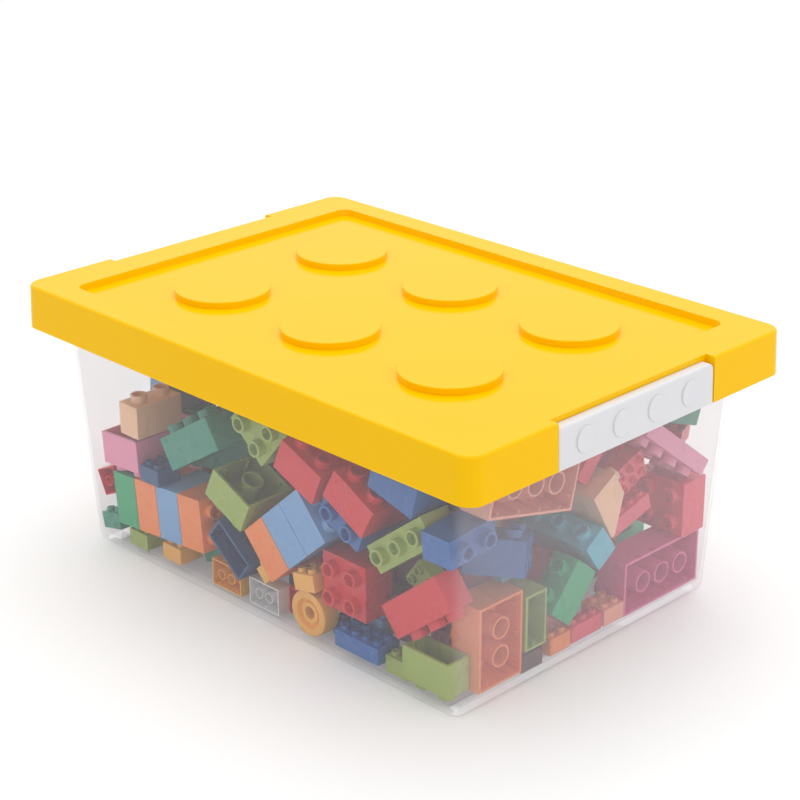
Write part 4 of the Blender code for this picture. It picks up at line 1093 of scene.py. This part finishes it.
def makeTowerBrick(along, across, studs):
    plan, gap = brickPlan, towerPlan["gap"]
    halfX, halfY = along * plan["module"] / 2 - gap, across * plan["module"] / 2 - gap
    high = plan["brick"] / 2
    body = middleBlock("towerBody", halfX, halfY, -high + gap / 2, high)
    roundEdges(body, lambda edge: True, plan["edge"], plan["edgeSteps"])
    parts = withStuds(body, gridPlaces(along, across) if studs else [], high)
    return finishMesh(joined("towerMaster", parts), plan["smooth"])


def buildTower(node, chance):
    points, middles, normals, areas = trianglesOf(node)
    level = numpy.abs(normals[:, 2]) < measurePlan["square"]
    side = normals[numpy.argmax(areas * level)]
    turn = math.atan2(side[1], side[0])
    turn -= round(turn / (math.pi / 2)) * math.pi / 2
    back = numpy.array(Matrix.Rotation(-turn, 3, "Z"))
    flat, centres = points @ back.T, middles @ back.T
    cell, height = 2 * brickPlan["module"], brickPlan["brick"]
    low = flat.min(axis=0)
    columns, rows = (int(round(span / cell)) for span in (flat.max(axis=0) - low)[:2])
    storeys = {}
    for column in range(columns):
        for row in range(rows):
            middle = low[:2] + (numpy.array((column, row)) + 0.5) * cell
            near = (numpy.abs(centres[:, :2] - middle) < cell / 2).all(axis=1)
            near &= normals[:, 2] > measurePlan["upward"]
            heights = (centres[near, 2] - low[2]) / height
            whole = numpy.abs(heights - numpy.round(heights)) < measurePlan["whole"]
            storeys[column, row] = int(round(heights[whole].max())) if whole.any() else 0
            x, y = middle @ back[:2, :2]
            if x < towerPlan["left"] or y > towerPlan["back"]:
                storeys[column, row] = 0
            elif x < towerPlan["slack"]:
                storeys[column, row] = min(storeys[column, row], towerPlan["storeys"])
    for storey in range(max(storeys.values())):
        free = sorted(cell for cell, top in storeys.items() if top > storey)
        while free:
            column, row = free.pop(0)
            span = (1, 1)
            for along, across in ((1, 0), (0, 1)):
                if (column + along, row + across) in free and chance.random() < towerPlan["pairs"]:
                    free.remove((column + along, row + across))
                    span = (1 + along, 1 + across)
                    break
            covered = all(storeys[column + a, row + b] > storey + 1
                          for a in range(span[0]) for b in range(span[1]))
            long = max(span) * 2
            key = ("tower", long, covered)
            if key not in masters:
                masters[key] = makeTowerBrick(long, 2, not covered)
            spot = Vector((low[0] + (column + span[0] / 2) * cell, low[1] + (row + span[1] / 2) * cell,
                           low[2] + (storey + 0.5) * height))
            spin = math.pi / 2 if span[1] > 1 else 0
            place = Matrix.Rotation(turn, 4, "Z") @ Matrix.Translation(spot) @ Matrix.Rotation(spin, 4, "Z")
            room = ("block", long, 2, 1), place @ Matrix.Scale(towerPlan["inset"], 4)
            if not pile.isFree(*room):
                continue
            pile.lay(*room)
            colour = chance.choice(towerPlan["colours"])
            inner.setdefault(colour, []).append(copyOf(masters[key], "towerBrick", place))
    print(node.name, "has", sum(len(parts) for parts in inner.values()), "bricks by now")


inner = {}  # the bricks of the unseen middle, by colour
chance = random.Random(towerPlan["seed"])
for node in towers:
    buildTower(node, chance)


# The heap round them: bricks at random, each in the lowest free spot of several

heapPlan = {
    "seed": 8,
    "throws": 14,
    "tilt": 0.14,
    "turns": (0, 0, 1, 1, 2, 3),  # quarters about the long axis, the likelier ones twice
    "step": 3 * mm,
    "large": [("brick", 2, 2, 1)] * 4 + [
        ("brick", 3, 2, 1), ("brick", 4, 2, 1), ("brick", 2, 1, 1), ("brick", 3, 1, 1),
        ("plate", 4, 2, 1), ("slope", 2, 2, 1),
    ],
    "largeBricks": 75,
    "small": [("brick", 2, 2, small), ("brick", 3, 2, small), ("brick", 4, 2, small)],
    "smallBricks": 45,
    "atBack": 0.4,  # the share against the back wall, and with the share against the left one
    "atBackOrLeft": 0.7,
    "front": -45 * mm,
    "topFront": 66 * mm,  # how high the heap may stand: left and before "front", left, and elsewhere
    "topLeft": 92 * mm,
    "top": 116 * mm,
}


def throwBrick(pile, chance, kinds):
    best, plan = None, heapPlan
    for _ in range(plan["throws"]):
        kind = chance.choice(kinds)
        spin = Matrix.Rotation(chance.uniform(0, math.pi), 4, "Z")
        roll = chance.choice(plan["turns"]) * math.pi / 2 + chance.gauss(0, plan["tilt"])
        lean = Matrix.Rotation(chance.gauss(0, plan["tilt"]), 4, "Y")
        turn = spin @ Matrix.Rotation(roll, 4, "X") @ lean
        corners = cornersOf(kind, turn)
        roomX, roomY = (extraPlan["half"][axis] - max(corner[axis] for corner in corners) - mm
                        for axis in (0, 1))
        spot = Vector((chance.uniform(-roomX, roomX), chance.uniform(-roomY, roomY), 0))
        wall = chance.random()
        if wall < plan["atBack"]:
            spot.y = roomY
        elif wall < plan["atBackOrLeft"]:
            spot.x = -roomX
        left = spot.x < towerPlan["slack"]
        top = plan["top" if not left else "topFront" if spot.y < plan["front"] else "topLeft"]
        spot.z = extraPlan["floor"] + extraPlan["gap"] - min(corner.z for corner in corners)
        while spot.z < top and not pile.isFree(kind, Matrix.Translation(spot) @ turn):
            spot.z += plan["step"]
        if spot.z < top and (best is None or spot.z < best[1].translation.z):
            best = kind, Matrix.Translation(spot) @ turn
    if best:
        kind, matrix = best
        pile.lay(kind, matrix)
        colour = chance.choice(towerPlan["colours"])
        inner.setdefault(colour, []).append(copyOf(masterOf(kind), "heapBrick", matrix))
    return best is not None


chance = random.Random(heapPlan["seed"])
thrown = sum(throwBrick(pile, chance, heapPlan[size]) for size in ("large", "small")
             for _ in range(heapPlan[size + "Bricks"]))
print(thrown, "bricks thrown in")
for colour, parts in sorted(inner.items()):
    piece = joined("middle_" + colour, parts)
    mount(piece, brickPlastics[colour], "tub_and_bricks", colour + "_brick", *[node.name for node in towers])
discard(*masters.values(), studMaster)


# Floor, light and camera

studioPlan = {
    "floorSize": 12,
    "floorColour": (0.86, 0.86, 0.86, 1),
    "floorRoughness": 0.9,
    "floorGloss": 0.1,
    "floorGlow": 0.17,  # only as the camera sees it
    "white": (1, 1, 1, 1),
    "light": 0.85,  # of the room on the pieces
    "backdrop": 1.0,  # of the room as it is seen
    "boxes": [  # name, place, aim, side, power
        ("topBox", (-0.3, 0.3, 1.5), (0, 0, 0.1), 1.6, 9.5),
        ("rightBox", (1.6, 0.2, 0.7), (0, 0, 0.08), 1.0, 2.5),
    ],
}


def makeFloor(plan):
    putDown()
    bpy.ops.mesh.primitive_plane_add(size=plan["floorSize"], location=(0, 0, 0))
    floor = bpy.context.object
    floor.name = "floor"
    material = bpy.data.materials.new("floorPaint")
    material.use_nodes = True
    tree = material.node_tree
    seen = newNode(tree, "LightPath", {}).outputs["Is Camera Ray"]
    fill(tree, tree.nodes["Principled BSDF"], {
        "Base Color": plan["floorColour"],
        "Roughness": plan["floorRoughness"],
        "Specular IOR Level": plan["floorGloss"],
        "Emission Color": plan["white"],
        "Emission Strength": newMath(tree, "MULTIPLY", seen, plan["floorGlow"]),
    })
    floor.data.materials.append(material)


def makeRoom(plan):
    world = bpy.data.worlds.new("studio")
    bpy.context.scene.world = world
    world.use_nodes = True
    tree = world.node_tree
    path = newNode(tree, "LightPath", {}).outputs
    seen = newMath(tree, "MAXIMUM", path["Is Camera Ray"], path["Is Glossy Ray"])
    level = newNode(tree, "MapRange", {"To Min": plan["light"], "To Max": plan["backdrop"], "Value": seen})
    fill(tree, tree.nodes["Background"], {"Color": plan["white"], "Strength": level.outputs[0]})


def addSoftbox(name, place, aim, side, power):
    lamp = bpy.data.lights.new(name, "AREA")
    lamp.shape = "RECTANGLE"
    lamp.size = lamp.size_y = side
    lamp.energy = power
    way = (Vector(aim) - Vector(place)).to_track_quat("-Z", "Y")
    newObject(name, lamp).matrix_world = Matrix.Translation(place) @ way.to_matrix().to_4x4()


makeFloor(studioPlan)
makeRoom(studioPlan)
for box in studioPlan["boxes"]:
    addSoftbox(*box)

cameraPlan = {
    "lens": 90.6,
    "sensor": 36,
    "place": (0.73919, -0.72447, 0.5302),
    "right": (0.70426, 0.70993, -0.00440),
    "up": (-0.26940, 0.27298, 0.92353),
    "back": (0.65684, -0.64922, 0.38350),
}
lens = bpy.data.cameras.new("camera")
lens.lens = cameraPlan["lens"]
lens.sensor_width = cameraPlan["sensor"]
camera = newObject("camera", lens)
turn = Matrix([cameraPlan["right"], cameraPlan["up"], cameraPlan["back"]]).transposed()
camera.matrix_world = Matrix.Translation(cameraPlan["place"]) @ turn.to_4x4()
bpy.context.scene.camera = camera
bpy.context.scene.view_settings.view_transform = "Standard"

bpy.context.view_layer.update()
print("scene done")
